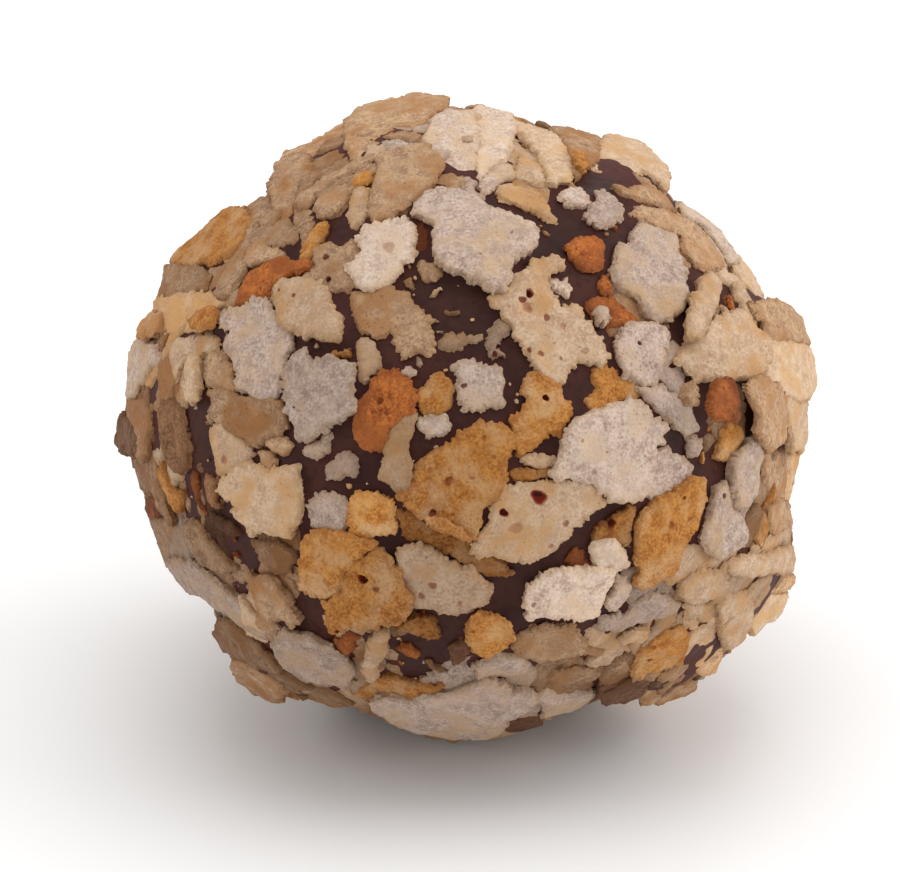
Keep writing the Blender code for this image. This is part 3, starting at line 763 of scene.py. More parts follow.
@dataclass(frozen=True)
class Breakage:
    """How a wafer breaks: the frayed outline, the relief and the pores. In millimetres.

    Attributes:
        corner_cut: The share of each side that goes when the outline's corners are cut off.
        notches: The width and depth of the notches in the broken edge, large and small.
        inset: How far in a small notch starts, as a share of its depth.
        stretches: How long the frayed and the clean stretches are, and how much they differ.
        fraying: How frayed the cleanest, the usual and the most frayed stretches are.
        fewest: The fewest points round a flake.
        mesh_size: The spacing of the points inside the outline, at the front.
        coarse_mesh_size: The same, for all other flakes.
        rows: How far apart the rows of those points are, as a share of their spacing.
        rim: How wide the strip along the edge is that is browned and carries painted shade.
        edge_band: How far inside the edge the face starts to round off, and how deep it goes.
        bow: The radius that a flake bends round.
        wave: The width and height of the lumps on its face.
        pit_wall: The share of a pore's radius that its wall takes.
        pit_step: The way from point to point round a pore, and the fewest points there.
        pit_room: How far off a pore's middle other points stay, as a share of its radius.
        pit_shade: How dark a shallow pore is painted, and how much more a deep one: painted shade.
        weld: How near two points are that become one, and how near the edge one lies on it.
    """

    corner_cut: float = 0.10
    notches: tuple[Pair, ...] = ((1.00, 0.13), (0.55, 0.17), (0.26, 0.22), (0.14, 0.16))
    inset: float = 0.2
    stretches: Pair = (1.3, 1.3)
    fraying: tuple[float, float, float] = (0.4, 0.85, 1.4)
    fewest: int = 10
    mesh_size: float = 0.26
    coarse_mesh_size: float = 0.45
    rows: float = 0.87
    rim: float = 0.30
    edge_band: Pair = (0.10, 0.09)
    bow: float = 20.0
    wave: Pair = (0.9, 0.10)
    pit_wall: float = 0.55
    pit_step: tuple[float, int] = (0.08, 10)
    pit_room: float = 1.2
    pit_shade: Pair = (0.25, 1.1)
    weld: Pair = (1e-4, 1e-3)

    def fray(self, outline: Array, spacing: float, seed: Vector) -> Array:
        """Breaks a plain outline into a frayed one.

        Args:
            outline: The plain corners, anticlockwise.
            spacing: The way from point to point along the edge.
            seed: Where in the noise this flake's edge lies.

        Returns:
            The frayed outline's points.
        """
        after = np.roll(outline, -1, axis=0)
        points = np.empty((len(outline) * 2, 2))
        points[0::2] = outline + (after - outline) * self.corner_cut
        points[1::2] = after + (outline - after) * self.corner_cut
        after = np.roll(points, -1, axis=0)
        spans = np.linalg.norm(after - points, axis=1)
        along = np.concatenate(([0], np.cumsum(spans)))
        count = max(self.fewest, int(along[-1] / spacing))
        stops = np.linspace(0, along[-1], count, endpoint=False)
        closed = np.vstack((points, points[:1]))
        line = np.column_stack([np.interp(stops, along, closed[:, axis]) for axis in range(2)])
        out = self.outward(line)
        breadth = 4 * abs(polygon_area(outline)) / along[-1]
        depth = np.zeros(len(line))
        length, contrast = self.stretches
        cleanest, usual, most = self.fraying
        frayed = np.array([noise.noise(seed + Vector((*p, 40)) / length) for p in line])
        frayed = np.clip(usual + contrast * frayed, cleanest, most)
        for index, (width, reach) in enumerate(self.notches):
            bumps = np.array([noise.noise(seed + Vector((*p, 7 * index)) / width) for p in line])
            bumps = (np.abs(bumps) - self.inset) * frayed if index else bumps
            depth += bumps * reach * min(1, breadth / (3 * width))
        return line + out * depth[:, None]

    @staticmethod
    def outward(line: Array) -> Array:
        """The way out of a closed outline at each of its points."""
        way = np.roll(line, -1, axis=0) - np.roll(line, 1, axis=0)
        way /= np.linalg.norm(way, axis=1)[:, None] + 1e-9
        return np.column_stack((way[:, 1], -way[:, 0]))

    def pit_reach(self, pit: tuple[float, ...], turn: Array) -> Array:
        """The uneven radius of a pore in each direction round it."""
        x, y, radius, _ = pit
        return radius * (1 + 0.16 * np.sin(2 * turn + 9 * x) + 0.09 * np.sin(3 * turn + 7 * y)
                         + 0.05 * np.sin(5 * turn + 5 * x))

    def pit_share(self, points: Array, pit: tuple[float, ...]) -> Array:
        """How deep in a pore each point lies, from 0 outside to 1 on its floor."""
        away = points - np.array(pit[:2])
        reach = self.pit_reach(pit, np.arctan2(away[:, 1], away[:, 0]))
        share = (1 - np.linalg.norm(away, axis=1) / reach) / self.pit_wall
        return np.clip(share, 0, 1)

    def sheet(self, plate: Plate, seed: Vector) -> Sheet:
        """Makes the upper side of a flake.

        Args:
            plate: The flake in its place.
            seed: Where in the noise this flake lies.

        Returns:
            The flat mesh and what its points carry.
        """
        edge = self.fray(plate.outline, plate.fine, seed)
        size = self.mesh_size if plate.fine < FINE_EDGE[1] else self.coarse_mesh_size
        low, high = edge.min(axis=0), edge.max(axis=0)
        columns = np.arange(low[0], high[0], size)
        rows = np.arange(low[1], high[1], size * self.rows)
        grid = np.array([(x + size / 2 * (r % 2), y) for r, y in enumerate(rows) for x in columns])
        grid = grid[inside(grid, edge)]
        grid = grid[distance_to(grid, edge) > self.edge_band[0] + size * 0.3]
        shoulder = edge - self.outward(edge) * self.edge_band[0]
        shoulder = shoulder[inside(shoulder, edge)]
        shoulder = shoulder[distance_to(shoulder, edge) > self.edge_band[0] * 0.75][::2]
        rings: list[Array] = []
        loops: list[tuple[int, int]] = []
        start = len(edge)
        for pit in plate.pits:
            spot, radius = np.array(pit[:2]), pit[2]
            steps = max(self.pit_step[1], int(2 * math.pi * radius / self.pit_step[0]))
            turn = np.linspace(0, 2 * math.pi, steps, endpoint=False)
            reach = self.pit_reach(pit, turn)
            around = np.column_stack((np.cos(turn), np.sin(turn)))
            for share in (1.0, 1 - self.pit_wall * 0.5, 1 - self.pit_wall):
                rings.append(spot + around * (reach * share)[:, None])
                loops += [(start + i, start + (i + 1) % steps) for i in range(steps)]
                start += steps
            rings.append(spot[None])
            start += 1
            if len(grid):
                grid, shoulder = (kept[np.linalg.norm(kept - spot, axis=1) > radius * self.pit_room]
                                  for kept in (grid, shoulder))
        points = np.vstack([edge, *rings, shoulder.reshape(-1, 2), grid.reshape(-1, 2)])
        border = [list(range(len(edge)))]
        flat, _, faces, *_ = delaunay_2d_cdt([Vector(p) for p in points], loops, border, 1, self.weld[0])
        flat = np.array([tuple(p) for p in flat])
        return self.dressed(plate, edge, flat, [list(face) for face in faces], seed)

    def dressed(
        self, plate: Plate, edge: Array, flat: Array, faces: list[list[int]], seed: Vector
    ) -> Sheet:
        """Bends a flat mesh of a flake, lays it in its place and says what it carries.

        Args:
            plate: The flake in its place.
            edge: Its frayed outline.
            flat: The points of its upper side.
            faces: The triangles between them.
            seed: Where in the noise this flake lies.

        Returns:
            The mesh in its place and what its points carry.
        """
        off_edge = distance_to(flat, edge)
        on_edge = off_edge < self.weld[1]
        drop = np.zeros(len(flat))
        pore_and_shade = np.zeros(len(flat))
        shallow, deeper = self.pit_shade
        for pit in plate.pits:
            share = self.pit_share(flat, pit)
            drop = np.maximum(drop, share * pit[3] * plate.thickness)
            # A pore is painted darker the deeper it goes: painted shade.
            pore_and_shade = np.maximum(pore_and_shade, np.minimum(1, share * 2) * min(1, shallow + deeper * pit[3]))
        lumps = np.array([noise.noise(seed + Vector((*p, 3)) / self.wave[0]) for p in flat])
        height = plate.thickness - (flat**2).sum(axis=1) / (2 * self.bow) + lumps * self.wave[1]
        height -= np.clip(1 - off_edge / self.edge_band[0], 0, 1) * self.edge_band[1]
        nearest = np.argmin(((flat[:, None, :] - edge[None, :, :]) ** 2).sum(axis=2), axis=1)
        out = np.column_stack((self.outward(edge), np.zeros(len(edge))))[nearest]
        out[~on_edge] = 0
        reach = np.abs(plate.outline).max() + 1e-9
        blush = plate.blush + flat[:, 0] / reach * plate.fade[0] + flat[:, 1] / reach * plate.fade[1]
        turn = np.array(plate.axes)
        count = len(flat)
        return Sheet(
            places=plate.world(np.column_stack((flat, height))),
            faces=faces,
            values={
                "outward": np.tile(turn[:, 2], (count, 1)),
                "side": out @ turn.T,
                "rim": np.clip(1 - off_edge / self.rim, 0, 1),
                "drop": drop * MM,
                "pore_and_shade": pore_and_shade,
                "blush": np.clip(blush, 0, 1),
                "tone": np.full(count, plate.tone),
                "thick": np.full(count, plate.thickness * MM),
            },
        )


@dataclass
class Crust:
    """The ball's crust: it seats the flakes one by one on the chocolate.

    Attributes:
        lookout: The camera, for the flakes that are seen at the front.
        core: The chocolate's surface.
        centre: The middle of the chocolate.
        half: The chocolate's half width, half depth and half height.
        chance: The source of all that is random.
        ball_half: The whole ball's half width, half depth and half height.
        outermost: How far a flake may stand out, as a share of the ball's round shape.
        clearance: How far flakes stay inside the ball's box, in millimetres.
        deepest_press: How far a flake that stands out is pressed in, three times over.
        highest: How high a copy may come to lie, in millimetres.
        deepest_sink: How far a copy may be pressed in, in millimetres.
        thickness: The thinnest and thickest flakes, in millimetres.
        sunk: How far a flake is pressed into the chocolate, in millimetres.
        bedded: How far a flake is pressed into other flakes, in millimetres.
        bedding: How far the lowest flakes stand out of the chocolate, in millimetres.
        lean: The most a flake of the front leans off the ball's surface, as a slope.
        steepest: The same for the other flakes.
        longest: The longest that a flake seen at a slant may be, in millimetres.
        least_facing: How far even the rim's flakes face the camera.
        most_facing: How far a flake is turned to the camera at the most, to fit its outline.
        keeps_facing: The share of that which a flake keeps as it leans.
        fringe: How far a broken edge may reach, as a share of its plain outline.
        growth: How much a seen outline grows, to make up for its broken corners.
        plates: The flakes seated so far.
        trees: The middle, the reach and the plain solid of each of them.
    """

    lookout: Lookout
    core: BVHTree
    centre: Vector
    half: Vector
    chance: random.Random
    ball_half: Vector
    outermost: float = 1.07
    clearance: float = 0.04
    deepest_press: float = 0.30
    highest: float = 0.9
    deepest_sink: float = 0.45
    thickness: Pair = (0.28, 0.42)
    sunk: float = 0.12
    bedded: float = 0.12
    bedding: Pair = (0.03, 0.09)
    lean: float = 0.20
    steepest: float = 0.36
    longest: float = 5.6
    least_facing: float = 0.30
    most_facing: float = 0.85
    keeps_facing: float = 0.85
    fringe: float = 1.04
    growth: float = 0.03
    plates: list[Plate] = field(default_factory=list)
    trees: list[tuple[Vector, float, BVHTree]] = field(default_factory=list)

    def surface_along(self, start: Vector, way: Vector) -> Vector:
        """Where a ray meets the chocolate, or comes nearest to it."""
        hit = self.core.ray_cast(start, way)[0]
        return hit or self.core.find_nearest(start + way * (self.centre - start).dot(way))[0]

    def surface_at(self, way: Vector) -> Vector:
        """The chocolate's surface in a direction of the round ball that it was made from."""
        out = Vector(w * h for w, h in zip(way, self.half)).normalized()
        return self.core.ray_cast(self.centre, out)[0]

    def normal_at(self, point: Vector) -> Vector:
        """The way out of the chocolate at a point of its surface."""
        away = point - self.centre
        return Vector(a / h**2 for a, h in zip(away, self.half)).normalized()

    def rest(self, footprint: Array, origin: Vector, axes: Matrix,
             steepest: float) -> tuple[float, Array]:
        """Lets a flake sink until it rests on what is under it.

        Args:
            footprint: Points of its underside along its flat axes, in millimetres.
            origin: The point that the axes start from.
            axes: Its two flat axes and its outward one.
            steepest: The most that it leans, as a slope.

        Returns:
            The height of its underside at the origin, in millimetres, and its two slopes.
        """
        above, widest, steps = 4.0, 4.5, 160
        lean_cost, stride, slowing, pull = 0.4, 0.06, 0.12, 0.8
        across, along, out = (axes.col[i].copy() for i in range(3))
        heights = []
        places = []
        near = [t for t in self.trees if (t[0] - origin).length < t[1] + widest * MM]
        for x, y in footprint:
            start = origin + (across * x + along * y + out * above) * MM
            top = None
            reach = self.core.ray_cast(start, -out)[3]
            if reach is not None:
                top = above - reach / MM - self.sunk
            for _, _, tree in near:
                hit = tree.ray_cast(start, -out, 2 * above * MM)
                if hit[0] is not None:
                    height = above - hit[3] / MM - self.bedded
                    top = height if top is None else max(top, height)
            if top is not None:
                heights.append(top)
                places.append((x, y))
        if not heights:
            return 0.0, np.zeros(2)
        tops, spots = np.array(heights), np.array(places)
        middle = spots.mean(axis=0)
        slope, best = np.zeros(2), (math.inf, 0.0, np.zeros(2))
        for turn in range(steps):
            rise = tops - (spots - middle) @ slope
            highest = int(rise.argmax())
            cost = float(rise[highest]) + lean_cost * float(slope @ slope)
            if cost < best[0]:
                best = (cost, float(rise[highest]), slope.copy())
            slope = slope + stride / (1 + turn * slowing) * ((spots - middle)[highest] - pull * slope)
            steep = np.linalg.norm(slope)
            if steep > steepest:
                slope *= steepest / steep
        return best[1] - float(middle @ best[2]), best[2]

    @staticmethod
    def footprint(outline: Array, margin: float = 0.30, spacing: float = 0.45) -> Array:
        """Points inside an outline, a margin away from its edge."""
        low, high = outline.min(axis=0), outline.max(axis=0)
        grid = np.array([
            (x, y)
            for x in np.arange(low[0], high[0] + spacing, spacing)
            for y in np.arange(low[1], high[1] + spacing, spacing)
        ])
        edge = np.vstack([outline * (1 - s) + np.roll(outline, -1, axis=0) * s for s in (0, 0.34, 0.67)])
        kept = grid[inside(grid, outline)]
        kept = kept[distance_to(kept, edge) > margin]
        return np.vstack((kept, [outline.mean(axis=0)]))

    @staticmethod
    def axes_for(normal: Vector, along: Vector) -> Matrix:
        """Two flat axes and an outward one, the first as near a given way as can be."""
        across = (along - normal * along.dot(normal)).normalized()
        return Matrix((across, normal.cross(across), normal)).transposed()

    def leaned(self, origin: Vector, axes: Matrix, height: float, slope: Array) -> tuple[Vector, Matrix]:
        """The origin and axes of a plane that lies at a height and slopes over old axes."""
        out = axes.col[2].copy()
        return origin + out * (height * MM), self.axes_for(self.tilted(axes, slope), axes.col[0].copy())

    def keep(self, plate: Plate) -> None:
        """Adds a seated flake, for later ones to rest on."""
        points, faces = plate.solid()
        centre = sum(points, Vector()) / len(points)
        reach = max((p - centre).length for p in points)
        self.trees.append((centre, reach, BVHTree.FromPolygons(points, faces)))
        self.plates.append(plate)

    def traced(self, seen: Seen, origin: Vector, axes: Matrix, thickness: float,
               away: Vector) -> Array:
        """Finds a seen flake's outline along its own axes.

        What shows of a plate is its upper side and the wall at its near side, so the
        near corners are taken as its lower edge's, and the far ones as its upper edge's.

        Args:
            seen: The flake.
            origin: A point of its underside.
            axes: Its two flat axes and its outward one.
            thickness: How thick it is, in millimetres.
            away: The way in the picture in which the ball's surface turns from the camera.

        Returns:
            The corners, in millimetres.
        """
        look, out = self.lookout, axes.col[2].copy()
        edge = seen.corners + (seen.corners - seen.corners.mean(axis=0)) * self.growth
        far = edge @ np.array((away.dot(look.right), -away.dot(look.up)))
        shares = (far - far.min()) / max(np.ptp(far), 1e-6)
        spots = [
            np.array(look.on_plane(tuple(corner), origin + out * (thickness * share * MM), out) - origin)
            for corner, share in zip(edge, shares)
        ]
        return (np.array(spots) @ np.array(axes))[:, :2] / MM

    def excess(self, points: Array) -> float:
        """How far points stand out of the ball's own round shape or its box, in metres."""
        away = points - np.array(self.lookout.ball_centre)
        half = np.array(self.ball_half)
        round_excess = (np.linalg.norm(away / half, axis=1).max() - self.outermost) * half.mean()
        box_excess = (np.abs(away) - half + self.clearance * MM).max()
        return max(0.0, float(round_excess), float(box_excess))

    def seat_seen(self, seen: Seen) -> None:
        """Seats a flake of the front where its pixels say."""
        look = self.lookout
        middle = tuple(seen.corners.mean(axis=0))
        touch = self.surface_along(look.place, look.ray(middle))
        normal = self.normal_at(touch)
        away = (normal - look.back * normal.dot(look.back)).normalized()
        picture_way = np.array((away.dot(look.right), -away.dot(look.up)))
        spread = np.ptp(seen.corners @ picture_way) / look.pixels_per_mm
        facing = max(normal.dot(look.back), self.least_facing, min(self.most_facing, spread / self.longest))
        if facing > normal.dot(look.back):
            normal = away * math.sqrt(1 - facing**2) + look.back * facing
        thickness = self.chance.uniform(*self.thickness)
        base = self.axes_for(normal, look.right)
        origin, axes = touch, base
        easing, flat_enough = 0.6, 0.01
        for _ in range(2):
            outline = self.traced(seen, origin, axes, thickness, away)
            height, slope = self.rest(self.footprint(outline), touch, base, self.lean)
            while slope.any() and self.tilted(base, slope).dot(look.back) < facing * self.keeps_facing:
                slope = slope * easing if np.linalg.norm(slope) > flat_enough else slope * 0
            origin, axes = self.leaned(touch, base, height + seen.lift, slope)
            origin = look.on_plane(middle, origin, axes.col[2])
        for _ in range(3):
            outline = self.traced(seen, origin, axes, thickness, away)
            top = np.column_stack((outline, np.full(len(outline), thickness))) * MM
            over = self.excess(np.array(origin) + top @ np.array(axes).T)
            origin = origin - look.back * min(over, self.deepest_press * MM)
        shift = outline.mean(axis=0)
        pits = []
        for x, y, radius, depth in seen.pits:
            spot = look.on_plane((x, y), origin + axes.col[2] * (thickness * MM), axes.col[2]) - origin
            spot = np.array(spot) @ np.array(axes) / MM
            pits.append((spot[0] - shift[0], spot[1] - shift[1], radius / look.pixels_per_mm, depth))
        moved = origin + (axes.col[0] * shift[0] + axes.col[1] * shift[1]) * MM
        flat = outline - shift
        if polygon_area(flat) < 0:
            flat = flat[::-1].copy()
        self.keep(Plate(seen.kind, moved, axes, flat, thickness, seen.tone, seen.blush, seen.fade, pits,
                        FINE_EDGE[0]))

    @staticmethod
    def tilted(axes: Matrix, slope: Array) -> Vector:
        """The outward way of a plane that slopes over some axes."""
        return (axes.col[2] - axes.col[0] * slope[0] - axes.col[1] * slope[1]).normalized()

    def copied(self, shape: Plate, way: Vector, turn: float, scale: float) -> Plate:
        """Lays a copy of a flake's shape flat on the chocolate.

        Args:
            shape: The flake whose outline, baking and pores are copied.
            way: The direction from the ball's middle.
            turn: How far the copy is turned in its own plane.
            scale: How large the copy is.

        Returns:
            The copy.
        """
        near = self.surface_at(way)
        normal = self.normal_at(near)
        # Any way will do that isn't nearly the normal's.
        along = Vector((0.3, 0.2, 1)) if abs(normal.z) < 0.9 else Vector((1, 0.2, 0))
        spin = np.array(((math.cos(turn), -math.sin(turn)), (math.sin(turn), math.cos(turn))))
        pits = [(*(np.array(p[:2]) @ spin.T * scale), p[2] * scale, p[3]) for p in shape.pits]
        return replace(shape, origin=near, axes=self.axes_for(normal, along),
                       outline=shape.outline @ spin.T * scale, pits=pits)

    def seat_unseen(self, flake: Plate) -> bool:
        """Lets a copy sink onto what is under it, and tells whether it found room."""
        thickness = self.chance.uniform(*self.thickness)
        height, slope = self.rest(self.footprint(flake.outline, margin=0.22), flake.origin, flake.axes,
                                  self.steepest)
        origin, axes = self.leaned(flake.origin, flake.axes, height, slope)
        flake = replace(flake, origin=origin, axes=axes, thickness=thickness, fine=COARSE_EDGE)
        over = self.excess(flake.ring(thickness))
        if height > self.highest or over > self.deepest_sink * MM:
            return False
        return self.keep_if_inside(replace(flake, origin=origin - axes.col[2] * over))

    def bed(self, flake: Plate) -> bool:
        """Presses a copy into the chocolate, and tells whether it found room."""
        proud = self.chance.uniform(*self.bedding)
        origin = flake.origin + flake.axes.col[2] * ((proud - self.thickness[0]) * MM)
        flake = replace(flake, origin=origin, thickness=self.thickness[0], pits=[], fine=FINE_EDGE[1])
        shown = self.shown(flake.ring(flake.thickness))
        if any(inside(shown, cleft).any() or inside(cleft, shown).any() for cleft in map(corners, CLEFTS)):
            return False
        return self.keep_if_inside(flake)

    def shown(self, points: Array) -> Array:
        """The pixels at which points show."""
        return np.array([self.lookout.pixel(Vector(p)) for p in points])

    def keep_if_inside(self, plate: Plate) -> bool:
        """Keeps a seated flake unless it would change the outer edge that the camera sees."""
        rims = np.vstack([plate.ring(height, self.fringe) for height in (0.0, plate.thickness)])
        if not inside(self.shown(rims), corners(SILHOUETTE)).all():
            return False
        self.keep(plate)
        return True

    def covered(self, way: Vector) -> bool:
        """Whether a flake already lies over the chocolate in a direction."""
        outside, reach, same_side = 22 * MM, 14 * MM, 0.8
        start = self.centre + way * outside
        return any(
            (centre - self.centre).normalized().dot(way) > same_side
            and tree.ray_cast(start, -way, reach)[0] is not None
            for centre, _, tree in self.trees
        )

    def outside_picture(self, way: Vector) -> bool:
        """Whether a direction points to a part of the ball that the camera doesn't see."""
        return self.normal_at(self.surface_at(way)).dot(self.lookout.back) < 0.06

    def fill_between(self, spacing: int) -> None:
        """Fills what the seen flakes leave open with flakes pressed in flat under them.

        Args:
            spacing: How far apart the places are that it looks at, in pixels.
        """
        look = self.lookout
        edge, bare = corners(SILHOUETTE), corners(BARE_PATCH)
        low, high = edge.min(axis=0), edge.max(axis=0)
        columns, rows = (np.arange(low[i], high[i], spacing) for i in range(2))
        spots = [(x, y) for x in columns for y in rows]
        spots = [(x + self.chance.uniform(-3, 3), y + self.chance.uniform(-3, 3)) for x, y in spots]
        self.chance.shuffle(spots)
        front = self.plates[:len(FRONT)]
        tries, shrink, edge_on = 4, 0.18, 0.02
        # Painted shade: a flake laid here is darker than the front flake nearest it, and at most palest.
        palest, darker = 0.3, (0.1, 0.7)
        # The middling flakes are laid first, then the small ones: their areas and scales.
        for least, most, sizes in ((3.0, 9.0, (0.8, 1.0)), (1.2, 4.0, (0.6, 0.9))):
            stock = [p for p in front if least < p.area < most]
            for spot in spots:
                here = np.array([spot])
                if not inside(here, edge)[0] or inside(here, bare)[0]:
                    continue
                touch = self.surface_along(look.place, look.ray(spot))
                way = (touch - self.centre).normalized()
                if self.normal_at(touch).dot(look.back) < edge_on or self.covered(way):
                    continue
                near = min(front, key=lambda p: (p.origin - touch).length)
                kind = near.kind if near.kind not in (GOLDEN, RUST) else self.chance.choice((CREAM, BISCUIT))
                shape = replace(self.chance.choice(stock), kind=kind, blush=near.blush,
                                tone=min(near.tone, palest) - self.chance.uniform(*darker))
                flat = Vector(w / h for w, h in zip(touch - self.centre, self.half)).normalized()
                for attempt in range(tries):
                    scale = self.chance.uniform(*sizes) * (1 - shrink * attempt)
                    if self.bed(self.copied(shape, flat, self.chance.uniform(0, 2 * math.pi), scale)):
                        break

    def cover_the_rest(self, tries: int, bare: float) -> None:
        """Fills the sides, the back and the base with turned copies of the flakes seated so far.

        Args:
            tries: How many places are tried, evenly spread over the ball.
            bare: The share of the open places that stay bare chocolate.
        """
        smallest, largest, longest, middling = 0.5, 24, 6.5, 5.5
        sizes, shrink, rounds = (0.85, 1.1), 0.12, 5
        first = tries * 0.10
        shapes = [p for p in self.plates
                  if smallest < p.area < largest and np.ptp(p.outline, axis=0).max() < longest]
        large = [p for p in shapes if p.area > middling]
        small = [p for p in shapes if p.area <= middling]
        golden = math.pi * (3 - math.sqrt(5))
        ways = []
        for index in range(tries):
            height = 1 - 2 * (index + 0.5) / tries
            ring = math.sqrt(1 - height * height)
            ways.append(Vector((ring * math.cos(index * golden), ring * math.sin(index * golden), height)))
        self.chance.shuffle(ways)
        for index, way in enumerate(w for w in ways if self.outside_picture(w)):
            stock = large if index < first else small
            if self.covered(way) or (index > first and self.chance.random() < bare):
                continue
            for attempt in range(rounds):
                scale = self.chance.uniform(*sizes) * (1 - shrink * attempt)
                turn = self.chance.uniform(0, 2 * math.pi)
                if self.seat_unseen(self.copied(self.chance.choice(stock), way, turn, scale)):
                    break


# Finishes.


class Wiring:
    """A short way to place shader nodes and join them up."""

    def __init__(self, tree: NodeTree) -> None:
        """Starts wiring in a node tree."""
        self.tree = tree

    def node(self, kind: str, settings: dict[str, object] | None = None,
             **inputs: object) -> Node:
        """Places a node.

        Args:
            kind: The node's type.
            settings: The node's own settings.
            **inputs: Values or sockets for its inputs, with _ for a space.

        Returns:
            The node.
        """
        made = self.tree.nodes.new(kind)
        for name, value in (settings or {}).items():
            setattr(made, name, value)
        self.fill(made, inputs)
        return made

    def fill(self, node: Node, inputs: dict[str, object]) -> None:
        """Feeds a node's inputs, which are named with _ for a space."""
        for name, value in inputs.items():
            self.feed(node.inputs[name.replace("_", " ")], value)

    def paint(self, **inputs: object) -> None:
        """Feeds the inputs of the material's own shader."""
        self.fill(self.tree.nodes["Principled BSDF"], inputs)

    def feed(self, socket: NodeSocket, value: object) -> None:
        """Joins a socket to another, or gives it a value."""
        if isinstance(value, NodeSocket):
            self.tree.links.new(value, socket)
        else:
            socket.default_value = value

    def math(self, operation: str, first: object, second: object = 0.0) -> NodeSocket:
        """Works out a number from two others."""
        made = self.node("ShaderNodeMath", {"operation": operation})
        self.feed(made.inputs[0], first)
        self.feed(made.inputs[1], second)
        return made.outputs[0]

    def times(self, first: object, second: object) -> NodeSocket:
        """The product of two numbers."""
        return self.math("MULTIPLY", first, second)

    def mix(self, share: object, first: object, second: object, blend: str = "MIX") -> NodeSocket:
        """Mixes two colours."""
        made = self.node("ShaderNodeMix", {"data_type": "RGBA", "blend_type": blend})
        self.feed(made.inputs[0], share)
        self.feed(made.inputs[6], first)
        self.feed(made.inputs[7], second)
        return made.outputs[2]

    def span(self, value: object, low: float, high: float, to_low: float = 0.0,
             to_high: float = 1.0) -> NodeSocket:
        """Stretches the range between two numbers to another range, and holds it there."""
        made = self.node("ShaderNodeMapRange", {"clamp": True}, Value=value, From_Min=low, From_Max=high,
                         To_Min=to_low, To_Max=to_high)
        return made.outputs[0]

    def carried(self, name: str) -> NodeSocket:
        """A number that the mesh's points carry."""
        return self.node("ShaderNodeAttribute", {"attribute_name": name}).outputs["Fac"]

    def place(self) -> NodeSocket:
        """The place on the piece, in its own coordinates."""
        return self.node("ShaderNodeTexCoord").outputs["Object"]

    def clouds(self, place: object, grain: float, detail: float = 2.0) -> NodeSocket:
        """A cloudy pattern of a given grain, from 0 to 1."""
        return self.node("ShaderNodeTexNoise", Vector=place, Scale=1 / grain, Detail=detail,
                         Roughness=0.55).outputs["Fac"]

    def cells(self, place: object, grain: float) -> NodeSocket:
        """The distance to the nearest of some scattered points."""
        return self.node("ShaderNodeTexVoronoi", Vector=place, Scale=1 / grain).outputs["Distance"]


def new_material(name: str) -> tuple[Material, Wiring]:
    """Makes a material, and gives it with the wiring of its nodes."""
    made = bpy.data.materials.new(name)
    made.use_nodes = True
    return made, Wiring(made.node_tree)


def crumb_group() -> NodeTree:
    """Builds the shared node group for baked wafer: its mottles and its crumbly height."""
    group = bpy.data.node_groups.new("baked_crumb", "ShaderNodeTree")
    face = group.interface
    for name, default in (("Grain", 1.0), ("Rim", 0.0)):
        face.new_socket(name, in_out="INPUT", socket_type="NodeSocketFloat").default_value = default
    for name in ("Mottle", "Specks", "PaintedGlints", "Patches", "Height"):
        face.new_socket(name, in_out="OUTPUT", socket_type="NodeSocketFloat")
    wire = Wiring(group)
    entry = wire.node("NodeGroupInput")
    place = wire.place()
    fine = wire.clouds(place, 0.00012, 3.0)
    middle = wire.clouds(place, 0.00048, 3.0)
    wide = wire.clouds(place, 0.0013, 2.0)
    chosen = wire.clouds(place, 0.0009, 1.0)
    pores, dots = wire.cells(place, 0.00021), wire.cells(place, 0.00024)
    specks = wire.times(wire.span(pores, 0.08, 0.30, 1.0, 0.0), wire.span(chosen, 0.46, 0.58))
    # Small pale specks, painted glints on the crumb.
    painted_glints = wire.times(wire.span(dots, 0.05, 0.22, 1.0, 0.0), wire.span(chosen, 0.52, 0.44))
    mottle = wire.math("ADD", wire.times(fine, 0.5), wire.times(middle, 0.5))
    grit = wire.times(wire.math("ADD", wire.times(fine, 0.7), middle), entry.outputs["Grain"])
    ragged = wire.times(wire.times(fine, entry.outputs["Rim"]), 0.8)
    height = wire.math("SUBTRACT", wire.math("ADD", grit, ragged), wire.times(specks, 0.8))
    leave = wire.node("NodeGroupOutput")
    for name, value in (("Mottle", wire.span(mottle, 0.40, 0.60)), ("Specks", specks), ("PaintedGlints", painted_glints),
                        ("Patches", wire.span(wide, 0.38, 0.62)), ("Height", height)):
        wire.feed(leave.inputs[name], value)
    return group


